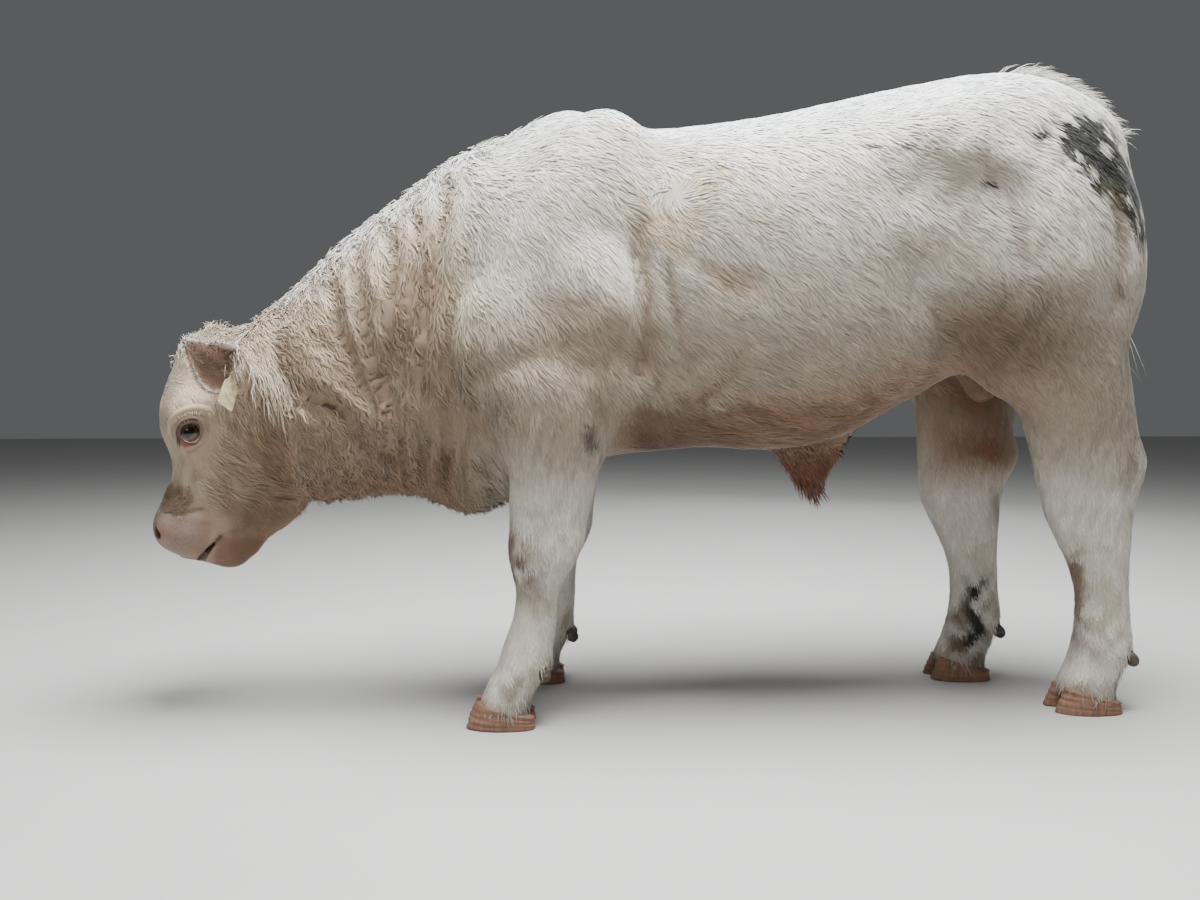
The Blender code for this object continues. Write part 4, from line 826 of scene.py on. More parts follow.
def eyeOpening(side):  # the wedge between the lids
    centre, gaze, slant, lift = eyeFrame(side)
    rings = []
    for depth, spread in ((0.004, 0.76), (0.05, 1.22)):
        ring = []
        for _, c, s in around(48):
            u = (lids["long"] + (0.0035 if c > 0 else 0.0)) * c
            v = lids["high"] * math.copysign(abs(s) ** 1.15, s) * (1.0 if s > 0 else 0.92)
            ring.append(centre + gaze * depth + slant * (u * spread) + lift * (v * spread))
        rings.append(ring)
    return ringMesh("opening", rings)


def eyePocket(side):
    centre = eyeFrame(side)[0]
    bm = bmesh.new()
    place = Matrix.Translation(centre)
    bmesh.ops.create_uvsphere(
        bm, u_segments=40, v_segments=24, radius=bull["eyeRadius"] + 0.0002, matrix=place
    )
    return meshOf("pocket", bm)


def nostrilCut(side):  # a comma-shaped hollow at the front corner of the muzzle
    centre = headPoint(0.359, side * 0.044, 0.046)
    inward = (browWay * -0.78 - acrossWay * side * 0.42 - faceWay * 0.42).normalized()
    longWay = (faceWay * 0.80 + acrossWay * side * 0.45 - browWay * 0.2).normalized()
    longWay = (longWay - inward * longWay.dot(inward)).normalized()
    wide = inward.cross(longWay)
    rings = []
    for depth, spread in (
        (-0.020, 1.20), (-0.004, 1.02), (0.004, 0.92), (0.012, 0.72), (0.020, 0.48), (0.026, 0.22)
    ):
        ring = []
        for _, c, s in around(28):
            place = centre + inward * depth + longWay * (0.0185 * spread * c)
            bend = 0.0045 * spread * c * c * side  # the comma's bend
            ring.append(place + wide * (0.0112 * spread * s * (1.0 + 0.35 * c) + bend))
        rings.append(ring)
    return ringMesh("nostril", rings)


def mouthCut(side):  # the wedge between the lips of one side, open a little in front
    outline = ((0.351, -0.0668), (0.375, -0.0490), (0.395, -0.0370), (0.425, -0.0290))
    outline += ((0.425, -0.0400), (0.388, -0.0525))
    rings = [[headPoint(a, side * across, h) for a, h in outline] for across in (0.024, 0.09)]
    return ringMesh("cleft", rings)


ear = {
    "leaf": [  # reach along the ear, half width, depth of the cup, set back, shift along its breadth
        (-0.030, 0.016, 0.016, 0.000, 0.000),
        (0.000, 0.021, 0.021, 0.000, 0.000),
        (0.016, 0.028, 0.023, 0.001, 0.000),
        (0.036, 0.039, 0.024, 0.003, 0.000),
        (0.058, 0.046, 0.023, 0.005, 0.001),
        (0.082, 0.042, 0.020, 0.006, 0.001),
        (0.106, 0.031, 0.016, 0.005, 0.000),
        (0.130, 0.0185, 0.011, 0.003, -0.003),
        (0.150, 0.0085, 0.0070, 0.001, -0.0060),
        (0.160, 0.0030, 0.0035, 0.000, -0.0078),
    ],
    "thick": 0.0042,
    "cupFrom": 0.014,
    "cupFull": 0.040,
}


def earFrame(side):  # root, length, breadth and open side of an ear
    root = headPoint(0.060, side * 0.106, -0.060)
    along = (acrossWay * side * 0.60 + browWay * 0.76 - faceWay * 0.26).normalized()
    broad = (faceWay * 0.93 + browWay * 0.30 - acrossWay * side * 0.02).normalized()
    broad = (broad - along * broad.dot(along)).normalized()
    openSide = along.cross(broad).normalized()
    if openSide.dot(acrossWay * side) < 0:
        openSide = -openSide
    return root, along, broad, openSide


def earShell(side):  # a leaf whose open side sinks from a round root into a thin cup
    root, along, broad, openSide = earFrame(side)
    rows = Loft.smoothRows(np.array(ear["leaf"]), 40)
    rings = []
    for reach, width, depth, sink, shift in rows:
        centre = root + along * float(reach) - openSide * float(sink) + broad * float(shift)
        cup = float(ramp(np.array(reach), ear["cupFrom"], ear["cupFull"]))
        thick = min(ear["thick"], float(depth) * 0.7)
        ring = []
        for k in range(25):  # round the back, from rim to rim
            c, s = math.cos(math.pi * k / 24), math.sin(math.pi * k / 24)
            ring.append(centre + broad * float(width * c) - openSide * float(depth * s))
        for k in range(1, 24):  # and back again inside
            c, s = math.cos(math.pi * (24 - k) / 24), math.sin(math.pi * (24 - k) / 24)
            closed = 0.75 * depth * s
            hollow = -(depth - thick) * s + 0.0016 * math.sin(c * 9) * s  # ribs within the cup
            height = closed * (1 - cup) + hollow * cup
            inner = width - thick * 0.75 * cup * (1 - s)
            ring.append(centre + broad * float(inner * c) + openSide * float(height))
        rings.append(ring)
    return ringMesh("earShell", rings)


def cut(obj, cutters):  # takes closed cutters, clear of each other, out of a closed mesh
    tool = newObject("tool", joinedMesh("tool", cutters))
    step = obj.modifiers.new("cut", "BOOLEAN")
    step.operation = "DIFFERENCE"
    step.solver = "MANIFOLD"
    step.object = tool
    baked(obj)
    bpy.data.objects.remove(tool)
    return obj


def makeHead():
    groups = [shapes["trunk"][2:4], shapes["head"]]
    head = clay("headClay", groups, skinSet["headVoxel"], headSkin)
    bm = bmesh.new()
    bm.from_mesh(head.data)
    geom = bm.verts[:] + bm.edges[:] + bm.faces[:]
    behind = skinSet["join"] + skinSet["joinWay"] * 0.03  # keeps a little more than is used, closed
    made = bmesh.ops.bisect_plane(
        bm, geom=geom, plane_co=behind, plane_no=skinSet["joinWay"], clear_outer=True
    )
    rim = [item for item in made["geom_cut"] if isinstance(item, bmesh.types.BMEdge)]
    bmesh.ops.holes_fill(bm, edges=rim, sides=0)
    bm.to_mesh(head.data)
    bm.free()
    print("head clay", len(head.data.vertices), round(time.time() - started, 1))
    cut(head, [eyeOpening(-1), eyeOpening(1), nostrilCut(-1), nostrilCut(1), mouthCut(-1), mouthCut(1)])
    cut(head, [eyePocket(-1), eyePocket(1)])
    merged = joinedMesh("head", [head.data, earShell(-1), earShell(1)])
    head.data = merged
    remeshed(head, skinSet["faceVoxel"], 2)
    shapeLids(head.data)
    return head


def shapeLids(mesh):  # rims, folds and brows round the eyes
    points = readPoints(mesh)
    normals = readNormals(mesh)
    shift = np.zeros(len(points))
    for side in (-1, 1):
        centre, gaze, slant, lift = (np.array(item) for item in eyeFrame(side))
        offset = points - centre
        u, v, w = offset @ slant, offset @ lift, offset @ gaze
        radius = np.sqrt((u / (lids["long"] + 0.001)) ** 2 + (v / (lids["high"] + 0.001)) ** 2)
        gap = (radius - 1) * 0.019  # outward from the opening's edge
        near = (w > -0.004) & (gap < 0.05) & (gap > -0.004)
        above = ramp(v, -0.004, 0.006)
        shift += near * lids["rim"] * np.exp(-(((gap - 0.0025) / 0.0030) ** 2))
        shift -= near * above * lids["crease"] * np.exp(-(((gap - 0.0085) / 0.0026) ** 2))
        shift += near * above * lids["brow"] * np.exp(-(((gap - 0.0165) / 0.0060) ** 2))
        shift -= near * (1 - above) * 0.0016 * np.exp(-(((gap - 0.0080) / 0.0028) ** 2))
        shift += near * (1 - above) * 0.0016 * np.exp(-(((gap - 0.0140) / 0.0045) ** 2))
        shift -= near * 0.0009 * np.exp(-(((gap - 0.0250) / 0.0030) ** 2)) * above
        fine = np.exp(-(((gap - 0.012) / 0.009) ** 2))
        shift += near * 0.0003 * fine * np.sin(gap * 2 * math.pi / 0.0026 + 2 * np.sin(u * 160))
    writePoints(mesh, points + normals * shift[:, None])


def cutAway(bm, place, way, within=None):  # clears what lies beyond a plane, and gives the open rim
    geom = [item for item in bm.faces if within is None or within(item.calc_center_median())]
    verts = {v for f in geom for v in f.verts}
    edges = {e for f in geom for e in f.edges}
    made = bmesh.ops.bisect_plane(
        bm, geom=list(verts) + list(edges) + geom, plane_co=place, plane_no=way, clear_outer=True, dist=1e-6
    )
    return [item for item in made["geom_cut"] if isinstance(item, bmesh.types.BMEdge)]


def footRegion(foot):
    x, y = foot

    def within(place):
        return abs(place.x - x) < 0.085 and abs(place.y - y) < 0.078 and place.z < 0.085

    return within


def makeSkin():
    head = makeHead()
    print("head", len(head.data.vertices), round(time.time() - started, 1))
    groups = [group for name, group in shapes.items() if name != "head"]
    body = clay("bodyClay", groups, skinSet["bodyVoxel"], bodySkin)
    print("body", len(body.data.vertices), round(time.time() - started, 1))
    bm = bmesh.new()
    bm.from_mesh(body.data)
    for leg in legs.values():
        x, y = leg["foot"]
        y *= leg["side"]
        slope = Vector(((hoof["front"] - hoof["heel"]) / hoof["length"], 0, 1)).normalized()
        height = (hoof["front"] + hoof["heel"]) / 2 - 0.003
        rim = cutAway(bm, Vector((x, y, height)), -slope, footRegion((x, y)))
        bmesh.ops.holes_fill(bm, edges=rim, sides=0)
    edge = skinSet["join"] + skinSet["joinWay"] * skinSet["joinGap"]
    bodyRim = cutAway(bm, edge, -skinSet["joinWay"])
    front = bmesh.new()
    front.from_mesh(head.data)
    cutAway(front, skinSet["join"], skinSet["joinWay"])
    front.to_mesh(head.data)
    front.free()
    bm.from_mesh(head.data)
    openEdges = [e for e in bm.edges if e.is_boundary]
    bmesh.ops.bridge_loops(bm, edges=openEdges)
    bmesh.ops.triangulate(bm, faces=[f for f in bm.faces if len(f.verts) > 4])
    bmesh.ops.recalc_face_normals(bm, faces=bm.faces)
    mesh = meshOf("skin", bm)
    for obj in (head, body):
        bpy.data.objects.remove(obj)
    print("joined", len(bodyRim), len(mesh.vertices), round(time.time() - started, 1))
    return newObject("skin", mesh)


# Zones, the lie of the coat, and the markings, painted shade and painted light that skin and coat share


def earPlace(points, side):
    root, along, broad, openSide = (np.array(item) for item in earFrame(side))
    offset = points - root
    return offset @ along, offset @ broad, offset @ openSide


def earWeight(points, side):
    along, broad, depth = earPlace(points, side)
    near = (np.abs(broad) < 0.052) & (np.abs(depth) < 0.034)
    return ramp(along, 0.010, 0.026) * near


def zoneMasks(points):  # every point belongs to one zone
    x, y, z = points.T
    ears = np.maximum(earWeight(points, -1), earWeight(points, 1)) > 0.5
    head = (headWeight(points) > 0.5) & ~ears
    tail = (x > 1.008) & (np.abs(y) < 0.036) & (z < 1.12)
    fore = (z < 0.60) & (x > -0.33) & (x < 0.10) & (np.abs(y) > 0.066) & ~head
    hind = (z < 0.62) & (x > 0.62) & ~tail
    neck = (x < -0.255) & ~head & ~ears & ~fore
    trunk = ~(ears | head | tail | fore | hind | neck)
    return {
        "ears": ears, "head": head, "tail": tail, "fore": fore, "hind": hind, "neck": neck, "trunk": trunk
    }


def blendWay(total, weight, way):  # way is one direction, or one for each point
    way = np.broadcast_to(np.array(way, float), total.shape)
    return total * (1 - weight[:, None]) + way * weight[:, None]


whorls = ((0.125, 0.959, 0.040, 1.1),)  # place in x and z, reach and turn


def coatWay(points, normals):  # the way the coat lies, before it is smoothed over the skin
    x, y, z = points.T
    count = len(points)
    way = np.tile(np.array((1.0, 0.0, -0.80)), (count, 1))
    way = blendWay(way, ramp(x, 0.40, 0.60) * ramp(z, 0.95, 1.05), (1.0, 0.0, -0.35))
    way = blendWay(way, ramp(normals[:, 2], 0.45, 0.85) * ramp(x, -0.2, 0.1), (1.0, 0.0, 0.0))
    shoulder = ramp(-x, -0.10, 0.05) * ramp(-z, -1.02, -0.85)
    way = blendWay(way, shoulder, (0.62, 0.0, -0.80))
    way = blendWay(way, ramp(-x, -0.08, 0.05) * ramp(z, 0.92, 1.05) * 0.7, (1.0, 0.0, -0.30))
    way = blendWay(way, ramp(x, 0.62, 0.85), (0.62, 0.0, -0.78))
    way = blendWay(way, ramp(x, 0.90, 1.0), (0.15, 0.0, -1.0))
    way = blendWay(way, ramp(-normals[:, 2], 0.5, 0.9) * ramp(z, 0.35, 0.45), (1.0, 0.0, 0.0))
    leg = ramp(-z, -0.66, -0.52) * np.maximum(ramp(np.abs(y), 0.05, 0.09), ramp(-z, -0.42, -0.34))
    leg = leg * np.maximum((x < 0.12) * (x > -0.34), (x > 0.60) * 1.0)
    way = blendWay(way, leg, (0.10, 0.0, -1.0))
    inside = ramp(-np.abs(y), -0.12, -0.06) * leg
    way = blendWay(way, inside * 0.5, (0.4, 0.0, -1.0))
    neck = neckWeight(points)
    phase = columnPhase(points)
    lean = np.sin(2 * math.pi * phase) * 1.05
    down = np.stack([0.45 + lean, np.zeros(count), np.full(count, -1.0)], axis=1)
    way = blendWay(way, neck, down)
    behindEar = neck * ramp(-x, 0.42, 0.55) * ramp(z, 0.55, 0.70)
    way = blendWay(way, behindEar, (0.75, 0.0, -0.75))
    crest = neck * ramp(normals[:, 2], 0.55, 0.85)
    side = np.sign(y) * 0.9
    way = blendWay(way, crest, np.stack([np.full(count, -0.62), side, np.zeros(count)], axis=1))
    place = headPlace(points)
    head = headWeight(points)
    whorl = np.array((0.105, 0.0, 0.070))
    axes = np.array([faceWay, acrossWay, browWay])
    spread = place - whorl
    spread[:, 2] *= 0.4
    spread /= np.maximum(np.linalg.norm(spread, axis=1), 0.01)[:, None]
    way = blendWay(way, head, spread @ axes)
    side = np.sign(place[:, 1])
    cheek = head * ramp(-place[:, 2], -0.020, 0.020) * ramp(np.abs(place[:, 1]), 0.03, 0.06)
    low = ramp(-z, -0.62, -0.40)
    way = blendWay(way, cheek, np.stack([np.full(count, 0.74), 0.2 * side, -0.80 + 0.25 * low], axis=1))
    brow = head * np.exp(-(((place[:, 0] - 0.10) / 0.05) ** 2)) * ramp(np.abs(place[:, 1]), 0.04, 0.07)
    way = blendWay(
        way, brow * 0.7, np.stack([np.full(count, 0.15), 0.4 * side, np.full(count, -0.9)], axis=1)
    )
    muzzle = head * ramp(place[:, 0], 0.255, 0.30)
    out = np.stack([np.full(count, 0.10), side * 0.5, np.full(count, -0.75)], axis=1) @ axes
    way = blendWay(way, muzzle * ramp(place[:, 2], -0.02, 0.02), out)
    lips = head * ramp(place[:, 0], 0.30, 0.34) * ramp(-place[:, 2], -0.01, 0.02)
    way = blendWay(way, lips, (0.62, 0.0, -0.55))
    for side in (-1, 1):
        weight = earWeight(points, side)
        broad = earPlace(points, side)[1]
        lineWay, broadWay = (np.array(item) for item in earFrame(side)[1:3])
        spreadWay = lineWay + np.clip(broad / 0.035, -1, 1)[:, None] * broadWay * 0.9
        way = blendWay(way, weight, spreadWay)
    tail = zoneMasks(points)["tail"]
    way = blendWay(way, tail * 1.0, (0.0, 0.0, -1.0))
    for wx, wz, reach, turn in whorls:
        dx, dz = x - wx, z - wz
        weight = np.exp(-((dx**2 + dz**2) / reach**2)) * (np.abs(y) > 0.06)
        around = (
            np.stack([-dz, np.zeros(count), dx], axis=1) / reach * turn
            + np.stack([dx, np.zeros(count), dz], axis=1) / reach
        )
        way = blendWay(way, np.clip(weight * 0.8, 0, 1), around * 2)
    return way


def onSkin(ways, normals):
    flat = ways - normals * np.sum(ways * normals, axis=1)[:, None]
    return flat / np.maximum(np.linalg.norm(flat, axis=1), 1e-6)[:, None]


def turned(ways, normals, angle):  # about the normals
    return ways * np.cos(angle)[:, None] + np.cross(normals, ways) * np.sin(angle)[:, None]


def smoothedWays(mesh, ways, normals, rounds):
    pairs = np.empty(len(mesh.edges) * 2, np.int32)
    mesh.edges.foreach_get("vertices", pairs)
    first, second = pairs.reshape(-1, 2).T
    count = len(ways)
    for _ in range(rounds):
        total = ways.copy()
        for axis in range(3):
            total[:, axis] += np.bincount(first, ways[second, axis], count)
            total[:, axis] += np.bincount(second, ways[first, axis], count)
        ways = onSkin(total, normals)
    return ways


def fromScreen(red, green, blue):  # a colour as a screen shows it, 0 to 255, to the renderer's scale
    return np.array(
        [((v / 255 + 0.055) / 1.055) ** 2.4 if v > 10 else v / 3294.6 for v in (red, green, blue)]
    )


shades = {
    "white": fromScreen(226, 221, 211),
    "cream": fromScreen(212, 198, 176),
    "buff": fromScreen(192, 166, 136),
    "tan": fromScreen(172, 136, 106),
    "pink": fromScreen(196, 158, 142),
    "sand": fromScreen(186, 164, 132),
    "paintedSkyLight": fromScreen(238, 242, 246),
    "rust": fromScreen(122, 72, 40),
    "brown": fromScreen(92, 70, 48),
    "manure": fromScreen(27, 28, 23),
    "ochre": fromScreen(150, 138, 84),
    "nose": fromScreen(176, 146, 132),
    "mouth": fromScreen(62, 34, 30),
    "lip": fromScreen(186, 124, 108),
}


def spot(points, centre, radii):  # 1 at the centre of an ellipsoid, fading to 0 at its edge
    away = np.linalg.norm((points - np.array(centre)) / np.array(radii), axis=1)
    return 1 - ramp(away, 0.45, 1.0)


def streak(points, line, width, side=-1):  # along a line in x and z, on one side
    near = np.exp(-((lineDistance(points[:, (0, 2)], line) / width) ** 2))
    return near * ramp(points[:, 1] * side, 0.02, 0.06)


stains = (  # along a line in x and z, half width, strength, shade, side
    (((0.797, 1.097), (0.827, 1.091), (0.850, 1.078)), 0.012, 1.5, "manure", -1),
    (((0.850, 1.068), (0.880, 1.040), (0.900, 1.010)), 0.044, 3.0, "manure", -1),
    (((0.890, 1.040), (0.915, 1.010), (0.935, 0.980)), 0.040, 3.0, "manure", -1),
    (((0.926, 0.985), (0.944, 0.955), (0.958, 0.920)), 0.024, 1.9, "manure", -1),
    (((0.877, 0.985), (0.884, 0.941), (0.889, 0.901)), 0.007, 0.9, "manure", -1),
    (((0.880, 0.970), (0.892, 0.900)), 0.018, 0.30, "ochre", -1),
    (((0.765, 1.077), (0.768, 1.073)), 0.010, 1.5, "manure", -1),
    (((0.660, 0.990), (0.663, 0.988)), 0.008, 1.2, "manure", -1),
    (((0.439, 1.055), (0.481, 1.047), (0.527, 1.055)), 0.003, 0.9, "manure", -1),
    (((0.904, 0.811), (0.908, 0.800)), 0.010, 0.6, "manure", -1),
    (((0.250, 0.930), (0.300, 0.915)), 0.030, 0.22, "ochre", -1),
    (((0.100, 0.926), (0.147, 0.960), (0.195, 1.000)), 0.040, 0.80, "sand", -1),
    (((0.060, 0.960), (0.100, 0.880)), 0.030, 0.60, "sand", -1),
    (((0.020, 1.080), (0.090, 1.060), (0.160, 1.040)), 0.024, 0.50, "sand", -1),
    (((-0.170, 0.350), (-0.160, 0.312), (-0.155, 0.285)), 0.024, 0.95, "brown", -1),
    (((-0.140, 0.270), (-0.130, 0.250)), 0.022, 0.45, "brown", -1),
    (((-0.032, 0.548), (-0.024, 0.528)), 0.013, 0.8, "manure", -1),
    (((-0.030, 0.620), (-0.010, 0.580)), 0.016, 0.40, "brown", -1),
    (((0.990, 0.490), (0.978, 0.465)), 0.020, 0.55, "brown", -1),
    (((0.900, 0.310), (0.912, 0.240), (0.915, 0.180)), 0.013, 0.85, "brown", -1),
    (((0.915, 0.140), (0.935, 0.120)), 0.022, 0.55, "brown", -1),
    (((0.812, 0.210), (0.802, 0.160), (0.810, 0.115), (0.790, 0.090)), 0.026, 1.1, "manure", 1),
    (((0.770, 0.130), (0.765, 0.100)), 0.020, 0.60, "brown", 1),
    (((0.850, 0.400), (0.862, 0.360)), 0.020, 0.55, "brown", 1),
    (((-0.120, 0.390), (-0.130, 0.350)), 0.022, 0.70, "brown", 1),
    (((0.780, 1.020), (0.860, 0.960), (0.930, 0.900)), 0.018, 0.35, "manure", 1),
    (((0.430, 0.560), (0.450, 0.575), (0.470, 0.590)), 0.026, 0.90, "brown", -1),
)


def markingsAndPaintedLight(points, normals):  # the colour of skin and coat at each point, with painted shade and painted light
    x, y, z = points.T
    count = len(points)
    place = headPlace(points)
    head = headWeight(points)
    neck = neckWeight(points)
    broad = ripple(points, 0.34, 3)
    patch = ripple(points, 0.10, 4)
    fine = ripple(points, 0.035, 5)
    speckle = ripple(points, 0.012, 6)
    colour = np.tile(shades["cream"], (count, 1))

    def lay(weight, shade):
        nonlocal colour
        weight = np.clip(weight, 0, 1)[:, None]
        colour = colour * (1 - weight) + np.broadcast_to(shade, colour.shape) * weight

    # whiter on the top and on faces turned up: partly the coat's own whiter back, partly painted light from
    # above
    top = ramp(normals[:, 2], -0.35, 0.75) * ramp(z, 0.62, 1.05)
    lay(0.30 + 0.75 * top + 0.18 * patch, shades["white"])
    lay(neck * (0.80 - 0.50 * top + 0.15 * patch + 0.10 * broad), shades["buff"])
    # painted light: a cool sky-lit white on the upturned faces of the back
    lay(ramp(normals[:, 2], 0.45, 0.90) * ramp(z, 0.72, 0.90) * 0.75, shades["paintedSkyLight"])
    lay(head * (0.72 + 0.14 * patch), shades["buff"] * 0.92)
    lay(ramp(-z, -0.86, -0.60) * (1 - head) * ramp(z, 0.45, 0.58) * (0.42 + 0.2 * patch), shades["buff"])
    # painted shade on the faces turned down, under the body
    under = ramp(-normals[:, 2], 0.25, 0.85) * ramp(z, 0.36, 0.44)
    lay(under * 0.55 * (1 - head), shades["tan"])
    leg = ramp(-z, -0.50, -0.40) * (1 - head) * (1 - neck)
    lay(leg * 0.70, shades["white"])
    lay(leg * ramp(patch + 0.5 * fine, 0.35, 1.1) * 0.35, shades["ochre"])
    # warm colour under the belly, in the flanks and between the thighs: partly the bare skin's own, partly
    # painted shade
    inner = (
        ramp(-np.abs(y), -0.135, -0.07) * ramp(z, 0.40, 0.50) * ramp(-z, -0.74, -0.66) * ramp(x, 0.66, 0.74)
    )
    lay(inner * (0.72 + 0.15 * patch), shades["rust"] * 1.0)
    # darker brown under the belly: partly the coat's own colour, partly painted shade
    belly = ramp(x, 0.00, 0.08) * ramp(-x, -0.62, -0.50) * ramp(-z, -0.625 - 0.02 * fine, -0.575)
    lay(belly * (0.82 + 0.12 * patch), shades["rust"] * 0.45 + shades["brown"] * 0.35)
    lay(spot(points, (0.424, 0, 0.455), (0.10, 0.09, 0.07)) * 0.75, shades["rust"] * 1.2)
    lay(spot(points, (0.420, 0, 0.425), (0.06, 0.05, 0.035)) * 0.95, shades["rust"] * 0.6)
    lay(spot(points, (0.56, -0.16, 0.60), (0.10, 0.09, 0.07)) * (0.40 + 0.25 * fine), shades["brown"])
    lay(spot(points, (0.56, 0.16, 0.60), (0.09, 0.09, 0.06)) * 0.3, shades["brown"])
    lay(spot(points, (0.77, 0, 0.650), (0.07, 0.06, 0.085)) * 0.6, shades["pink"])
    # painted shade under the dewlap and low on the neck
    dewlap = ramp(-z, -0.53, -0.42) * ramp(-x, 0.12, 0.20) * ramp(-np.abs(y), -0.09, -0.05) * (1 - head)
    lay(dewlap * 0.60, shades["tan"] * 0.5)
    lay(neck * ramp(-z, -0.60, -0.46) * (0.55 + 0.15 * patch), shades["tan"] * 0.6)
    # painted shade in the creases of the neck and brisket
    for fold in folds[:10]:
        crease = np.exp(-((lineDistance(points[:, (0, 2)], fold.line) / (fold.width * 0.75)) ** 2))
        lay(crease * 0.50 * (neck + 0.4 * (1 - neck)), shades["tan"] * 0.66)
    # painted shade: darker low on the body, and darker on faces turned sideways and down
    low = ramp(-z, -0.96, -0.62) * ramp(z, 0.40, 0.56) * (1 - head)
    sides = ramp(-normals[:, 2], -0.55, 0.35)
    colour = colour * (1 - 0.34 * low * (0.4 + 0.6 * sides))[:, None] * (1 - 0.27 * sides)[:, None]
    # painted shade in the deeper of the finer creases
    for depth, width, line in finerFolds:
        if depth > 0.0045:
            crease = np.exp(-((lineDistance(points[:, (0, 2)], line) / (width * 0.6)) ** 2))
            lay(crease * (np.abs(y) > 0.05) * 0.36, shades["tan"] * 0.62)
    # painted shade on the thigh, in the flank, on the lower shoulder, in a hollow of the barrel and low
    # along the barrel
    thigh = spot(points, (0.72, 0, 0.73), (0.24, 0.5, 0.15)) * (1 - leg) * ramp(-x, -0.93, -0.86)
    lay(thigh * 0.82, shades["tan"] * 0.28)
    lay(spot(points, (0.56, 0, 0.60), (0.22, 0.5, 0.14)) * 0.55, shades["tan"] * 0.52)
    lay(spot(points, (-0.04, 0, 0.73), (0.20, 0.5, 0.13)) * 0.36, shades["tan"] * 0.62)
    lay(spot(points, (0.20, 0, 0.81), (0.09, 0.5, 0.05)) * 0.24, shades["tan"] * 0.70)
    lay(spot(points, (0.40, 0, 0.56), (0.34, 0.5, 0.11)) * 0.40, shades["tan"] * 0.70)
    # dirt
    for line, width, strength, shade, side in stains:
        spread = width * (1 + 0.32 * fine + 0.2 * speckle)
        lay(strength * streak(points, line, spread, side) * ramp(1.1 + 0.6 * fine, 0.3, 1.2), shades[shade])
    splash = ramp(-z, -0.26, -0.06) * ramp(fine + 0.7 * patch, 0.25, 1.2)
    lay(splash * 0.45, shades["brown"])
    lay(ramp(-z, -0.085, -0.045) * 0.45, shades["brown"])
    # face
    along, across, out = place[:, 0], np.abs(place[:, 1]), place[:, 2]
    lay(
        head * ramp(along, 0.02, 0.08) * ramp(out, 0.0, 0.045) * ramp(-along, -0.28, -0.20) * 0.22,
        shades["cream"]
    )
    # painted shade on the underside of the head
    lay(head * ramp(-out, 0.09, 0.16) * 0.45, shades["tan"])
    throat = head * ramp(-along, -0.30, -0.20) * ramp(-out, 0.12, 0.18)
    lay(throat * (0.35 + 0.2 * patch), shades["rust"] * 1.7)
    pad = head * ramp(along, 0.318, 0.334) * ramp(out, -0.055, -0.035)
    lay(pad * (0.85 + 0.10 * fine), shades["nose"] * (0.50, 0.53, 0.56))
    grain = ripple(points, 0.0045, 7)
    lay(pad * np.clip(grain, 0, 1) * 0.35, shades["brown"] * 0.9)
    bridge = head * ramp(along, 0.262, 0.285) * ramp(-along, -0.330, -0.318) * ramp(out, -0.02, 0.02)
    lay(bridge * (0.62 + 0.22 * fine), shades["tan"] * 0.50)
    # painted shade in the wrinkles of the muzzle and above the nose
    folded = place * (1, 0, 1) + np.stack([np.zeros(count), across, np.zeros(count)], axis=1)
    for depth, width, line in faceLines:
        if depth > 0.0015 and line[0][0] > 0.24:
            lay(
                head * np.exp(-((lineDistance(folded, line) / (width * 0.8)) ** 2)) * 0.5,
                shades["brown"] * 0.7
            )
    # painted shade on the chin over its pink skin, on the lower cheeks and low on the head
    chin = head * ramp(along, 0.335, 0.365) * ramp(-out, 0.055, 0.068)
    lay(chin * 0.85, shades["lip"] * 0.26)
    jowl = head * ramp(-out, 0.00, 0.05) * ramp(along, 0.05, 0.12)
    lay(jowl * 0.55, shades["tan"] * 0.58)
    lay(head * ramp(-out, 0.05, 0.12) * 0.55, shades["brown"])
    band = ((-0.663, 0.549), (-0.632, 0.494), (-0.600, 0.439))
    lay(head * streak(points, band, 0.026, -1) * 0.35, shades["brown"] * 1.3)
    # painted shadow along the line where the lips meet
    lips = ((0.352, 0, -0.066), (0.385, 0, -0.047), (0.410, 0, -0.036))
    mouthLineShadow = head * np.exp(-((lineDistance(place * (1, 0, 1), lips) / 0.0045) ** 2))
    lay(mouthLineShadow * 0.85, shades["mouth"])
    for side in (-1, 1):
        # painted shadow deep in each nostril
        hole = np.array(headPoint(0.364, side * 0.041, 0.040))
        lay(np.exp(-((np.linalg.norm(points - hole, axis=1) / 0.0150) ** 4)) * 0.92, shades["mouth"] * 0.5)
        lay(
            spot(points, headPoint(0.362, side * 0.050, 0.030), (0.03, 0.03, 0.03)) * 0.30,
            shades["lip"] * 0.8
        )
        centre, gaze, slant, lift = (np.array(item) for item in eyeFrame(side))
        offset = points - centre
        u, v, w = offset @ slant, offset @ lift, offset @ gaze
        radius = np.sqrt((u / (lids["long"] + 0.001)) ** 2 + (v / (lids["high"] + 0.001)) ** 2)
        gap = (radius - 1) * 0.019
        front = (w > -0.006) & (gap < 0.06)
        upper = 0.6 + 0.4 * ramp(v, -0.002, 0.006)
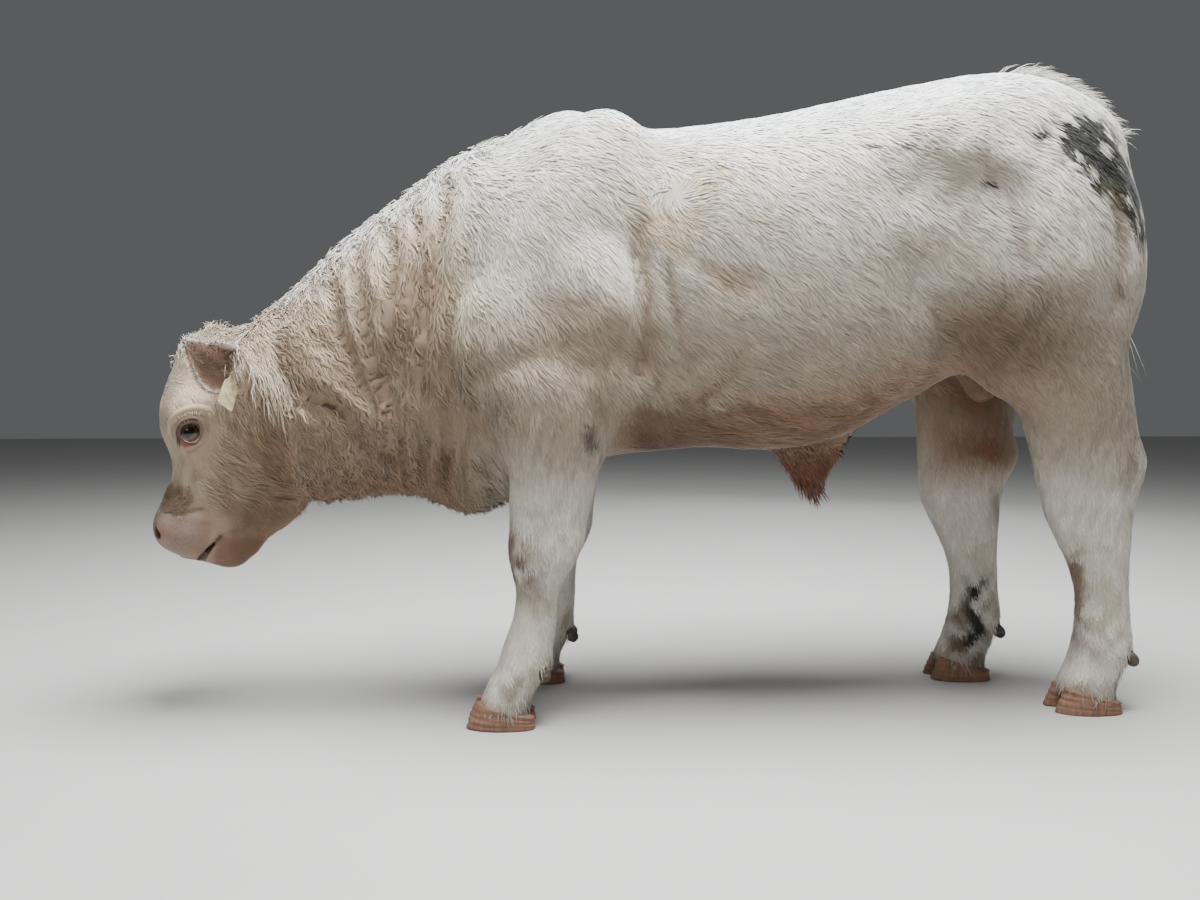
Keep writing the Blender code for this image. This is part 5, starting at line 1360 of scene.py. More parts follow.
        # painted shadow along the edge of the lids, stronger under the upper lid
        lay(front * np.exp(-((gap / 0.0038) ** 2)) * upper, shades["mouth"] * 0.6)
        lay(front * np.exp(-(((gap - 0.004) / 0.0028) ** 2)) * 0.6, shades["pink"] * 0.7)
        corner = np.exp(-(((u - 0.026) ** 2 + (v + 0.006) ** 2) / 0.0075**2)) * front
        lay(corner * 0.9, fromScreen(150, 72, 56))
        lay(front * np.exp(-(((gap - 0.013) / 0.007) ** 2)) * 0.28, shades["tan"] * 0.75)
        tear = np.array(
            [headPoint(a, side * c, h) for a, c, h in ((0.205, 0.078, 0.018), (0.235, 0.064, 0.008))]
        )
        lay(np.exp(-((lineDistance(points, tear) / 0.006) ** 2)) * 0.45, shades["tan"] * 0.6)
        earAlong, earBroad, earDepth = earPlace(points, side)
        within = (
            earWeight(points, side) * ramp(np.sum(normals * np.array(earFrame(side)[3]), axis=1), 0.1, 0.6)
        )
        lay(within * 0.70, shades["pink"] * 1.05)
        # painted shade deep in the ear's cup
        lay(within * ramp(-earDepth, 0.008, 0.020) * 0.35, shades["brown"])
        wide = np.interp(earAlong, *np.array([(row[0], row[1]) for row in ear["leaf"]]).T)
        rim = earWeight(points, side) * ramp(np.abs(earBroad) / wide, 0.78, 0.95)
        lay(rim * 0.75, shades["white"])
    return colour * (1 + 0.05 * fine + 0.04 * patch)[:, None]


# The coat: closed tapered tufts, rooted in the skin and laid along it


def packedMesh(name, points, quads, triangles):
    mesh = bpy.data.meshes.new(name)
    mesh.vertices.add(len(points))
    mesh.vertices.foreach_set("co", points.astype(np.float32).ravel())
    corners = np.concatenate([quads.ravel(), triangles.ravel()]).astype(np.int32)
    mesh.loops.add(len(corners))
    mesh.loops.foreach_set("vertex_index", corners)
    starts = np.concatenate([np.arange(len(quads)) * 4, len(quads) * 4 + np.arange(len(triangles)) * 3])
    mesh.polygons.add(len(starts))
    mesh.polygons.foreach_set("loop_start", starts.astype(np.int32))
    mesh.update(calc_edges=True)
    mesh.shade_smooth()
    return mesh, corners


def setColour(mesh, name, colour):
    layer = mesh.color_attributes.new(name, "FLOAT_COLOR", "POINT")
    rgba = np.ones((len(colour), 4), np.float32)
    rgba[:, :3] = colour
    layer.data.foreach_set("color", rgba.ravel())


def setMap(mesh, name, places, corners):
    layer = mesh.uv_layers.new(name=name)
    layer.uv.foreach_set("vector", places[corners].astype(np.float32).ravel())


def unwrapped(points, axisPoint, axisWay, upway, length):  # round an axis and along it, as 0 to 1
    axisWay = np.array(Vector(axisWay).normalized())
    across = np.cross(axisWay, np.array(upway, float))
    across /= np.linalg.norm(across)
    top = np.cross(across, axisWay)
    offset = points - np.array(axisPoint)
    around = np.arctan2(offset @ across, offset @ top) / (2 * math.pi) + 0.5
    return np.stack([0.01 + 0.98 * around, np.clip(0.5 + (offset @ axisWay) / length, 0.004, 0.996)], axis=1)


class Hide:  # the skin's surface, from which roots are drawn
    def __init__(self, mesh):
        mesh.calc_loop_triangles()
        self.points = readPoints(mesh)
        self.normals = readNormals(mesh)
        corners = np.empty(len(mesh.loop_triangles) * 3, np.int32)
        mesh.loop_triangles.foreach_get("vertices", corners)
        self.triangles = corners.reshape(-1, 3)
        a, b, c = (self.points[self.triangles[:, k]] for k in range(3))
        self.areas = np.linalg.norm(np.cross(b - a, c - a), axis=1) / 2
        self.middles = (a + b + c) / 3
        ways = onSkin(coatWay(self.points, self.normals), self.normals)
        self.ways = smoothedWays(mesh, ways, self.normals, 4)

    def roots(self, density):  # density gives tufts for each square metre, at each triangle
        chosen = np.flatnonzero(density > 0)
        weight = self.areas[chosen] * density[chosen]
        total = weight.sum()
        count = int(total)
        steps = (np.arange(count) + chance.random(count)) / count * total  # evenly along the summed weight
        picked = chosen[np.searchsorted(np.cumsum(weight), steps).clip(0, len(chosen) - 1)]
        first, second = chance.random(count), chance.random(count)
        swap = first + second > 1
        first[swap], second[swap] = 1 - first[swap], 1 - second[swap]
        share = np.stack([1 - first - second, first, second], axis=1)[:, :, None]
        corner = self.triangles[picked]
        points = (self.points[corner] * share).sum(axis=1)
        normals = (self.normals[corner] * share).sum(axis=1)
        normals /= np.linalg.norm(normals, axis=1)[:, None]
        ways = onSkin((self.ways[corner] * share).sum(axis=1), normals)
        return points, normals, ways


def streaks(points, ways):  # light and dark streaks along the lie of the coat, -1 to 1
    level = ripple(points * (0.20, 1, 1), 0.016, 31) * np.abs(ways[:, 0])
    plumb = ripple(points * (1, 1, 0.20), 0.016, 32) * np.abs(ways[:, 2])
    return (level + plumb) / (np.abs(ways[:, 0]) + np.abs(ways[:, 2]) + 0.2)


def makeTufts(name, roots, kind, unwrap):
    # each value of the kind is a number, or a function of the roots' points and normals
    points, normals, ways = roots
    count = len(points)

    def value(key, fallback=0.0):
        found = kind.get(key, fallback)
        found = found(points, normals) if callable(found) else found
        return np.broadcast_to(np.array(found, float), (count,))

    uneven = kind.get("uneven", 0.25)
    length = value("length") * chance.uniform(1 - uneven, 1 + uneven, count)
    width = value("width") * chance.uniform(0.75, 1.25, count)
    lift = value("lift") * chance.uniform(0.5, 1.5, count) * (1 + 0.35 * ripple(points, 0.030, 23))
    clump = value("clump") * ripple(points, kind.get("clumpSize", 0.045), 21)
    clump = clump + value("finer") * ripple(points, 0.016, 24)
    ways = turned(ways, normals, value("turn") * chance.normal(size=count) + clump)
    if "rise" in kind:  # long hair that leaves the skin
        ways = ways + normals * kind["rise"]
        ways /= np.linalg.norm(ways, axis=1)[:, None]
    if "toward" in kind:
        ways = ways + np.array(kind["toward"])
        ways /= np.linalg.norm(ways, axis=1)[:, None]
    across = np.cross(normals, ways)
    across /= np.maximum(np.linalg.norm(across, axis=1), 1e-6)[:, None]
    outward = np.cross(ways, across)
    sink = kind.get("sink", 0.0015)
    wave = value("wave") * chance.uniform(0.6, 1.4, count)
    pace = 2 * math.pi / kind.get("waveLength", 0.028)
    phase = points @ np.array(kind.get("waveWay", (0.3, 0.0, -1.0))) * pace
    phase = phase + 1.6 * ripple(points, 0.07, 22) + chance.uniform(-0.5, 0.5, count)
    curl = value("curl") * chance.normal(size=count)
    drop = value("drop")
    rings = kind["rings"]
    steps = [0.0] + [(0.42 if rings == 1 else 0.12 + 0.70 * k / (rings - 1)) for k in range(rings)] + [1.0]
    centres = []
    for t in steps:
        side = (
            wave * (np.sin(phase + pace * length * t) - np.sin(phase)) * min(1, t * 2.5) + curl * length * t
            * t
        )
        height = -sink * (1 - t) ** 2 + lift * math.sin(min(1, t * 1.15) * math.pi / 2)
        centre = points + ways * (length * t)[:, None] + across * side[:, None]
        centre[:, 2] -= drop * length * t * t
        centres.append([centre, height])
    for i, (centre, height) in enumerate(centres):
        if kind.get("follow", True) and i > 0:
            over = np.clip(bodyField(shapes, centre) + coatDepth(centre), -0.012, 0.012)
            centre = centre + normals * (height - over)[:, None]
        else:
            centre = centre + (outward * height[:, None] if i else normals * height[:, None])
        centres[i] = centre
    verts = np.empty((count, 2 + 3 * rings, 3))
    shine = np.empty_like(verts)  # normals: the skin's, a little rounded over each tuft
    verts[:, 0] = centres[0]
    verts[:, -1] = centres[-1]
    shine[:, 0] = normals
    shine[:, -1] = normals
    spreads = (
        [1.0] if rings == 1 else [math.sin(math.pi * (0.28 + 0.60 * k / (rings - 1))) for k in range(rings)]
    )
    rounding = kind.get("rounding", 0.5)
    for k in range(rings):
        ahead = centres[k + 2] - centres[k]
        ahead /= np.linalg.norm(ahead, axis=1)[:, None]
        flat = np.cross(normals, ahead)
        flat /= np.maximum(np.linalg.norm(flat, axis=1), 1e-6)[:, None]
        over = np.cross(ahead, flat)
        half = (width / 2 * spreads[k])[:, None]
        verts[:, 1 + 3 * k] = centres[k + 1] - flat * half
        verts[:, 2 + 3 * k] = centres[k + 1] + flat * half
        verts[:, 3 + 3 * k] = centres[k + 1] + over * half * kind.get("thick", 0.35)
        base = normals + over * 0.25
        for place, lean in ((1, -rounding), (2, rounding), (3, 0.0)):
            facing = base + flat * lean
            shine[:, place + 3 * k] = facing / np.linalg.norm(facing, axis=1)[:, None]
    triangles = [(0, 2, 1), (0, 3, 2), (0, 1, 3)]
    quads = []
    for k in range(rings - 1):
        a, b, c = 1 + 3 * k, 2 + 3 * k, 3 + 3 * k
        quads += [(a, b, b + 3, a + 3), (b, c, c + 3, b + 3), (c, a, a + 3, c + 3)]
    last = 3 * rings - 2
    tip = 3 * rings + 1
    triangles += [(last, last + 1, tip), (last + 1, last + 2, tip), (last + 2, last, tip)]
    base = (np.arange(count) * (2 + 3 * rings))[:, None, None]
    quads = (np.array(quads, np.int64).reshape(1, -1, 4) + base).reshape(-1, 4)
    triangles = (np.array(triangles, np.int64).reshape(1, -1, 3) + base).reshape(-1, 3)
    mesh, corners = packedMesh(name, verts.reshape(-1, 3), quads, triangles)
    along = np.array([0.0] + [t for t in steps[1:-1] for _ in range(3)] + [1.0])
    sideways = np.array([0.5] + [0.0, 1.0, 0.5] * rings + [0.5])
    tone = (
        1 + kind.get("tone", 0.045) * chance.normal(size=count) + kind.get("streak", 0.06)
        * streaks(points, ways)
    )
    # painted shade along each tuft: darker at the root, lighter at the tip, by the kind's fade
    tone = tone[:, None] + kind.get("fade", 0.10) * (along[None, :] - 0.45)
    colour = markingsAndPaintedLight(points, normals)
    if "shade" in kind:
        shade, share = kind["shade"]
        colour = colour * (1 - share) + shades[shade] * share
    colour = colour[:, None, :] * np.clip(tone, 0.5, 1.4)[:, :, None]
    warm = chance.normal(size=count)[:, None, None] * np.array((0.014, 0.0, -0.018))
    setColour(mesh, "hide", np.clip(colour * (1 + warm), 0, 1).reshape(-1, 3))
    if "free" not in kind:
        mesh.normals_split_custom_set_from_vertices(shine.reshape(-1, 3))
    place = unwrap(points)[:, None, :]
    patch = np.stack([(sideways - 0.5) * 0.003, (along - 0.5) * 0.003], axis=1)[None]
    setMap(mesh, "OFBake", np.clip(place + patch, 0, 1).reshape(-1, 2), corners)
    spare = chance.random((count, 1, 2)) * 40
    strand = np.stack([sideways[None, :] * (width * 900)[:, None], along * (length * 60)[:, None]], axis=2)
    setMap(mesh, "strand", (strand + spare).reshape(-1, 2), corners)
    obj = newObject(name, mesh)
    total = len(quads) * 2 + len(triangles)
    print("   ", name, count, "tufts", total, "triangles", round(time.time() - started, 1))
    return obj


def trunkLength(points, normals):
    return 0.031 - 0.004 * ramp(points[:, 2], 0.9, 1.1) + 0.006 * ramp(-points[:, 2], -0.62, -0.50)


def sheathLength(points, normals):
    return 0.016 + 0.022 * ramp(-points[:, 2], -0.47, -0.42)


def legLength(points, normals):
    return 0.013 + 0.010 * ramp(points[:, 2], 0.10, 0.50)


def byEye(points):  # 0 at the lids, 1 beyond them
    away = [np.linalg.norm(points - np.array(eyeFrame(side)[0]), axis=1) for side in (-1, 1)]
    return ramp(np.minimum(*away), 0.030, 0.056)


def headLength(points, normals):
    place = headPlace(points)
    fore = ramp(-place[:, 0], -0.14, -0.04) * ramp(place[:, 2], -0.02, 0.03)
    nose = ramp(place[:, 0], 0.24, 0.33)
    return (0.0135 + 0.008 * fore - 0.0080 * nose) * (0.35 + 0.65 * byEye(points))


def headWidth(points, normals):
    place = headPlace(points)
    return (0.0026 - 0.0011 * ramp(place[:, 0], 0.24, 0.33)) * (0.45 + 0.55 * byEye(points))


def neckLength(points, normals):
    return 0.029 + 0.008 * ramp(points[:, 2], 0.60, 0.95) - 0.010 * ramp(-normals[:, 2], 0.0, 0.5)


def neckWidth(points, normals):
    return 0.0041 - 0.0012 * headWeight(points)


def trunkUnwrap(points):
    return unwrapped(points, (0.35, 0, 0.85), (1, 0, 0), (0, 0, 1), 1.6)


def neckUnwrap(points):
    return unwrapped(points, (-0.42, 0, 0.66), (-0.9335, 0, -0.3585), (0, 0, 1), 0.9)


def headUnwrap(points):
    return unwrapped(points, headPoint(0.18, 0, -0.06), faceWay, browWay, 0.7)


def tailUnwrap(points):
    return unwrapped(points, (1.03, 0, 0.80), (0, 0, -1), (1, 0, 0), 1.0)


def legUnwrap(name):
    x, y = legs[name]["foot"]
    middle = (x, y * legs[name]["side"], 0.32)
    return lambda points: unwrapped(points, middle, (0, 0, -1), (1, 0, 0), 0.72)


loose = dict(follow=False, free=True)  # hair not laid on the body's field, shaded by its own form

# in each kind, fade is painted shade along the tufts, darker at the root and lighter at the tip
coatKinds = {
    "trunk": dict(
        length=trunkLength, width=0.0036, lift=0.0018, rings=1, turn=0.10, clump=0.26, clumpSize=0.06,
        finer=0.14, thick=0.30, rounding=0.85, tone=0.085, streak=0.20, fade=0.24,
    ),
    "leg": dict(
        length=legLength, width=0.0030, lift=0.0014, rings=1, turn=0.13, clump=0.20, finer=0.12, thick=0.30,
        rounding=0.70, tone=0.07, streak=0.14, fade=0.20,
    ),
    "head": dict(
        length=headLength, width=headWidth, lift=0.0010, rings=1, turn=0.13, clump=0.20, clumpSize=0.03,
        finer=0.10, thick=0.30, rounding=0.65, tone=0.07, streak=0.16, fade=0.18,
    ),
    "cheek": dict(
        length=0.030, width=0.0028, lift=0.0028, rings=3, turn=0.09, clump=0.24, clumpSize=0.035,
        finer=0.10, wave=0.0016, waveLength=0.018, waveWay=(0.7, 0, -0.7), thick=0.45, rounding=0.9,
        tone=0.11, streak=0.30, fade=0.32,
    ),
    "neck": dict(
        length=neckLength, width=neckWidth, lift=0.0030, rings=3, turn=0.08, clump=0.20, clumpSize=0.05,
        finer=0.10, wave=0.0030, waveLength=0.024, thick=0.45, rounding=0.9, tone=0.09, streak=0.20,
        fade=0.38,
    ),
    "ears": dict(
        loose, length=0.017, width=0.0020, lift=0.0012, rings=1, turn=0.16, clump=0.15, tone=0.08,
        streak=0.16, thick=0.3,
    ),
    "tail": dict(
        length=0.026, width=0.0034, lift=0.0016, rings=1, turn=0.10, clump=0.1, tone=0.07, free=True
    ),
    "switch": dict(
        loose, length=0.120, width=0.0036, lift=0.006, rings=4, turn=0.10, clump=0.30, clumpSize=0.02,
        curl=0.05, wave=0.0035, waveLength=0.045, toward=(0, 0, -1.2), thick=0.6, tone=0.08, uneven=0.35,
    ),
    "rumpTop": dict(
        loose, length=0.055, width=0.0028, lift=0.010, rings=4, turn=0.30, clump=0.5, clumpSize=0.03,
        rise=0.36, drop=0.18, wave=0.0035, waveLength=0.030, waveWay=(1, 0, 0), thick=0.6, tone=0.06,
        shade=("white", 0.75), curl=0.12,
    ),
    "crest": dict(
        loose, length=0.040, width=0.0034, lift=0.004, rings=4, turn=0.35, clump=0.8, clumpSize=0.04,
        rise=0.12, drop=0.15, wave=0.0050, waveLength=0.026, waveWay=(1, 1, 0), thick=0.6, tone=0.07,
        shade=("white", 0.45), curl=0.25,
    ),
    "poll": dict(
        loose, length=0.034, width=0.0028, lift=0.004, rings=4, turn=0.4, clump=0.9, clumpSize=0.03,
        rise=0.14, drop=0.2, wave=0.0040, waveLength=0.022, waveWay=(1, 1, 0), thick=0.6, tone=0.06,
        shade=("white", 0.35), curl=0.25,
    ),
    "earFringe": dict(
        loose, length=0.042, width=0.0021, lift=0.004, rings=4, turn=0.20, clump=0.5, clumpSize=0.02,
        rise=0.25, drop=1.2, wave=0.0028, waveLength=0.026, waveWay=(0, 0, -1), toward=(0.80, -0.10, -0.30),
        thick=0.6, tone=0.12, shade=("cream", 0.60), curl=0.12, uneven=0.35,
    ),
    "sheath": dict(
        loose, length=sheathLength, width=0.0024, lift=0.002, rings=3, turn=0.2, clump=0.3,
        toward=(0, 0, -1.6), thick=0.6, tone=0.18, shade=("rust", 0.60), curl=0.12, uneven=0.4,
    ),
    "dewlap": dict(
        loose, length=0.018, width=0.0030, lift=0.003, rings=3, turn=0.25, clump=0.5, clumpSize=0.03,
        rise=0.05, drop=0.2, wave=0.0020, waveLength=0.020, thick=0.5, tone=0.08, curl=0.15,
    ),
    "armTuft": dict(
        loose, length=0.026, width=0.0020, lift=0.002, rings=4, turn=0.2, clump=0.5, clumpSize=0.03,
        rise=0.02, drop=0.1, wave=0.0025, waveLength=0.022, thick=0.5, tone=0.06, curl=0.3,
    ),
    "fetlock": dict(
        loose, length=0.022, width=0.0028, lift=0.002, rings=3, turn=0.15, clump=0.3, clumpSize=0.02,
        rise=0.06, drop=0.15, thick=0.5, tone=0.09, curl=0.12,
    ),
    "bridge": dict(
        length=0.012, width=0.0016, lift=0.0016, rings=3, turn=0.5, clump=0.9, clumpSize=0.014, wave=0.0014,
        waveLength=0.010, thick=0.6, rounding=0.9, tone=0.24, curl=0.5, shade=("brown", 0.38), fade=0.5,
    ),
    "lash": dict(
        loose, length=0.013, width=0.0010, lift=0.001, rings=3, turn=0.10, rise=1.2, drop=0.5, thick=0.8,
        tone=0.1, shade=("brown", 0.65),
    ),
}


tufts = {  # for each square metre of skin
    "trunk": 41000,
    "neck": 25000,
    "leg": 46000,
    "head": 88000,
    "headLess": 52000,  # fewer on the cheeks, which have their own
    "cheek": 34000,
    "ears": 100000,
    "tail": 42000,
    "switch": 26000,
    "rumpTop": 48000,
    "crest": 12000,
    "poll": 26000,
    "earFringe": 42000,
    "sheath": 36000,
    "dewlap": 14000,
    "armTuft": 40000,
    "coronet": 30000,
    "heel": 20000,
    "bridge": 110000,
    "lash": 120000,
}


def makeCoat(hide):
    place, facing = hide.middles, hide.normals[hide.triangles].mean(axis=1)
    x, y, z = place.T
    zones = zoneMasks(place)
    spotPlace = headPlace(place)
    along, out = spotPlace[:, 0], spotPlace[:, 2]
    left = y < 0
    coats = []

    def grow(name, density, kind, unwrap):
        coats.append(makeTufts("coat_" + name, hide.roots(density), coatKinds[kind], unwrap))

    clear = np.ones(len(place), bool)  # not within the eyes, the nostrils, the mouth and the bare nose
    lashes = np.zeros(len(place))
    for side in (-1, 1):
        centre, _, slant, lift = (np.array(item) for item in eyeFrame(side))
        offset = place - centre
        wide, high = lids["long"] + 0.003, lids["high"] + 0.003
        radius = np.sqrt((offset @ slant / wide) ** 2 + (offset @ lift / high) ** 2)
        near = np.linalg.norm(offset, axis=1) < 0.05
        clear &= ~((radius < 1.16) & near)
        lashes += near * (radius > 0.86) * (radius < 1.02) * (offset @ lift > 0.004)
        hole = np.array(headPoint(0.362, side * 0.041, 0.040))
        clear &= np.linalg.norm(place - hole, axis=1) > 0.018
    mouthGap = lineDistance(spotPlace[:, (0, 2)], ((0.345, -0.070), (0.385, -0.047), (0.415, -0.034)))
    clear &= mouthGap > 0.006
    clear &= ~((along > 0.328) & (out > -0.040))
    behind = 1 - ramp(x, -0.33, -0.19)  # neck and trunk mingle over the shoulder
    tipAway = np.linalg.norm(place - np.array((0.425, 0, 0.425)), axis=1)
    trunk = (zones["trunk"] | (zones["neck"] & (x > -0.34))) * ramp(tipAway, 0.085, 0.120)
    neck = (zones["neck"] | (zones["trunk"] & (x < -0.18))) * 1.0
    for name, side in (("left", left), ("right", ~left)):
        grow(
            "barrel_" + name, trunk * side * (x < 0.36) * tufts["trunk"] * (1 - 0.85 * behind), "trunk",
            trunkUnwrap
        )
        grow("haunch_" + name, trunk * side * (x >= 0.36) * tufts["trunk"], "trunk", trunkUnwrap)
        grow("neck_" + name, neck * side * tufts["neck"] * behind, "neck", neckUnwrap)
        for part in ("fore", "hind"):
            grow(f"{part}_leg_{name}", zones[part] * side * tufts["leg"], "leg", legUnwrap(f"{part}_{name}"))
    cheek = (
        ramp(-out, 0.000, 0.040) * ramp(np.abs(spotPlace[:, 1]), 0.02, 0.05) * (1 - ramp(along, 0.24, 0.31))
    )
    grow("head", zones["head"] * clear * (tufts["head"] - tufts["headLess"] * cheek), "head", headUnwrap)
    grow("cheeks", zones["head"] * clear * cheek * tufts["cheek"], "cheek", headUnwrap)
    grow("ears", zones["ears"] * tufts["ears"], "ears", headUnwrap)
    grow("tail", zones["tail"] * tufts["tail"], "tail", tailUnwrap)
    grow("switch", zones["tail"] * (z < 0.80) * (z > 0.58) * tufts["switch"], "switch", tailUnwrap)
    top = ramp(facing[:, 2], 0.2, 0.6)
    rump = ramp(x, 0.765, 0.81) * top * ramp(-np.abs(y), -0.085, -0.035) * (x < 1.03)
    grow("rump_top", rump * tufts["rumpTop"], "rumpTop", trunkUnwrap)
    crest = top * ramp(-np.abs(y), -0.085, -0.03) * ramp(-x, 0.12, 0.24) * ~zones["head"]
    grow("crest", crest * tufts["crest"], "crest", neckUnwrap)
    poll = zones["head"] * ramp(-along, -0.075, -0.03) * ramp(-np.abs(spotPlace[:, 1]), -0.085, -0.05) * top
    grow("poll", poll * tufts["poll"], "poll", headUnwrap)
    fringe = np.zeros(len(place))
    for side in (-1, 1):
        earAlong, earBroad, earDepth = earPlace(place, side)
        root = (earAlong > -0.025) & (earAlong < 0.058) & (np.abs(earDepth) < 0.05)
        fringe += root * ramp(-earBroad, 0.004, 0.024) * (earBroad > -0.06)
    grow("ear_fringe", fringe * tufts["earFringe"], "earFringe", headUnwrap)
    sheath = ramp(-tipAway, -0.120, -0.065)
    grow("sheath", sheath * tufts["sheath"], "sheath", trunkUnwrap)
    under = (
        ramp(-facing[:, 2], 0.1, 0.6) * ramp(-z, -0.60, -0.50) * ramp(-x, 0.10, 0.16) * (np.abs(y) < 0.085)
    )
    grow("dewlap", under * (zones["neck"] | zones["trunk"]) * tufts["dewlap"], "dewlap", neckUnwrap)
    arm = np.exp(-(((x + 0.195) / 0.022) ** 2 + ((z - 0.592) / 0.034) ** 2)) * (np.abs(y) > 0.12)
    grow("arm_tufts", arm * (arm > 0.05) * tufts["armTuft"], "armTuft", trunkUnwrap)
    for name in legs:
        footX, footY = legs[name]["foot"]
        footY *= legs[name]["side"]
        near = (np.abs(x - footX) < 0.12) & (np.abs(y - footY) < 0.09)
        coronetFur = near * ramp(-z, -0.062, -0.046) * tufts["coronet"]
        heelFur = near * ramp(x, footX + 0.035, footX + 0.060) * ramp(-z, -0.150, -0.120) * tufts["heel"]
        grow("fetlock_" + name, np.maximum(coronetFur, heelFur), "fetlock", legUnwrap(name))
    bridge = (
        zones["head"] * ramp(along, 0.262, 0.276) * (1 - ramp(along, 0.322, 0.330))
        * ramp(out, -0.005, 0.015)
    )
    grow("bridge", bridge * tufts["bridge"], "bridge", headUnwrap)
    grow("lashes", lashes * tufts["lash"], "lash", headUnwrap)
    return coats


# Hooves, dewclaws, eyes and the tag

hoof = {
    "length": 0.118,
    "front": 0.050,
    "heel": 0.020,
    "around": 56,
    "levels": 20,
}


def coronet(x, footX):  # height of the hoof's upper edge: high at the toe, low at the heel
    share = (x - (footX - hoof["length"] / 2)) / hoof["length"]
    return hoof["front"] + (hoof["heel"] - hoof["front"]) * share


def makeClaw(name, footX, footY, outer, seed):
    rings = []
    for j in range(hoof["levels"] + 1):
        share = j / hoof["levels"]
        toe = 0.010 - 0.018 * share - 0.004 * share**2
        width = 1.0 - 0.08 * share**1.5
        ring = []
        for angle, c, s in around(hoof["around"]):
            front = max(0.0, -c)
            ahead = hoof["length"] / 2 + (toe if c < 0 else -0.004 * share)
            along = ahead * math.copysign(abs(c) ** 0.82, c)
            reach = 0.0245 * width * (1 - 0.30 * front**2)
            across = reach * math.copysign(abs(s) ** 0.8, s)
            if s * outer < 0:
                across *= 0.86
            across -= outer * 0.006 * front**2
            wear = (
                0.0005 * math.sin(share * 26 + seed + 0.6 * math.sin(angle * 2))
                * (1 - abs(2 * share - 1) ** 4)
            )
            crack = (
                -0.0009 * math.exp(-(((angle - math.pi * (0.86 + 0.1 * math.sin(seed))) / 0.035) ** 2))
                * (1 - share * 0.6)
            )
            bulge = 0.0016 * math.exp(-(((share - 0.93) / 0.06) ** 2))  # the soft band under the coronet
            grow = 1 + (wear + crack + bulge - 0.0012 * (share < 0.01)) / 0.03
            x = footX + along * grow
            y = footY + outer * 0.0285 + across * grow
            ring.append(Vector((x, y, share * (coronet(x, footX) + 0.001))))
        rings.append(ring)
    top = rings[-1]
    middle = sum(top, Vector()) / len(top)
    for spread, rise in ((0.94, 0.0012), (0.80, 0.0015)):
        rings.append([middle + (place - middle) * spread + Vector((0, 0, rise)) for place in top])
    mesh = ringMesh(name, rings)
    mesh.shade_smooth()
    return newObject(name, mesh)


def makeDewclaw(name, place, lean):
    axis = Vector(lean).normalized()
    side = axis.cross(rightWay).normalized()
    other = axis.cross(side)
    rings = []
    steps = (
        (-0.014, 0.0118), (-0.006, 0.0126), (0.000, 0.0125), (0.005, 0.0116), (0.009, 0.0098),
        (0.0125, 0.0068), (0.014, 0.003)
    )
    for along, radius in steps:
        ring = []
        for angle, c, s in around(24):
            reach = radius * (1 + 0.03 * math.sin(angle * 3 + along * 300))
            ring.append(Vector(place) + axis * along + side * (reach * c) + other * (reach * s))
        rings.append(ring)
    mesh = ringMesh(name, rings)
    mesh.shade_smooth()
    return newObject(name, mesh)


def makeEye(name, side):  # a ball with a low cornea; its map runs across and up from the gaze
    centre, gaze, slant, lift = eyeFrame(side)
    bm = bmesh.new()
    bmesh.ops.create_uvsphere(bm, u_segments=64, v_segments=48, radius=bull["eyeRadius"] - 0.0004)
    turn = Matrix([list(slant), list(lift), list(gaze)]).transposed()
    layer = bm.loops.layers.uv.new("gaze")
    for vert in bm.verts:
        flat = math.hypot(vert.co.x, vert.co.y)
        if vert.co.z > 0:
            vert.co.z += 0.0012 * math.exp(-((flat / 0.011) ** 4))
    for face in bm.faces:
        for loop in face.loops:
            co = loop.vert.co
            away = 0.5 if co.z > 0 else 3.0
            loop[layer].uv = (0.5 + co.x * away / 0.03, 0.5 + co.y * away / 0.03)
    for vert in bm.verts:
        vert.co = centre + turn @ vert.co
    mesh = meshOf(name, bm)
    mesh.shade_smooth()
    return newObject(name, mesh)


tag = {
    "seat": 0.048,  # along the ear
    "outline": [  # down the tag, half width to either side
        (-0.0090, 0.0045, 0.0030), (-0.0080, 0.0060, 0.0040), (0.0040, 0.0072, 0.0058),
        (0.0110, 0.0092, 0.0078),
        (0.0165, 0.0128, 0.0118), (0.0205, 0.0162, 0.0154), (0.0240, 0.0172, 0.0167),
        (0.0660, 0.0182, 0.0178),
        (0.0685, 0.0175, 0.0171), (0.0700, 0.0158, 0.0154),
    ],
    "lift": 0.0086,
    "thick": 0.0018,
    "down": Vector((-0.06, -0.55, -0.83)).normalized(),
}


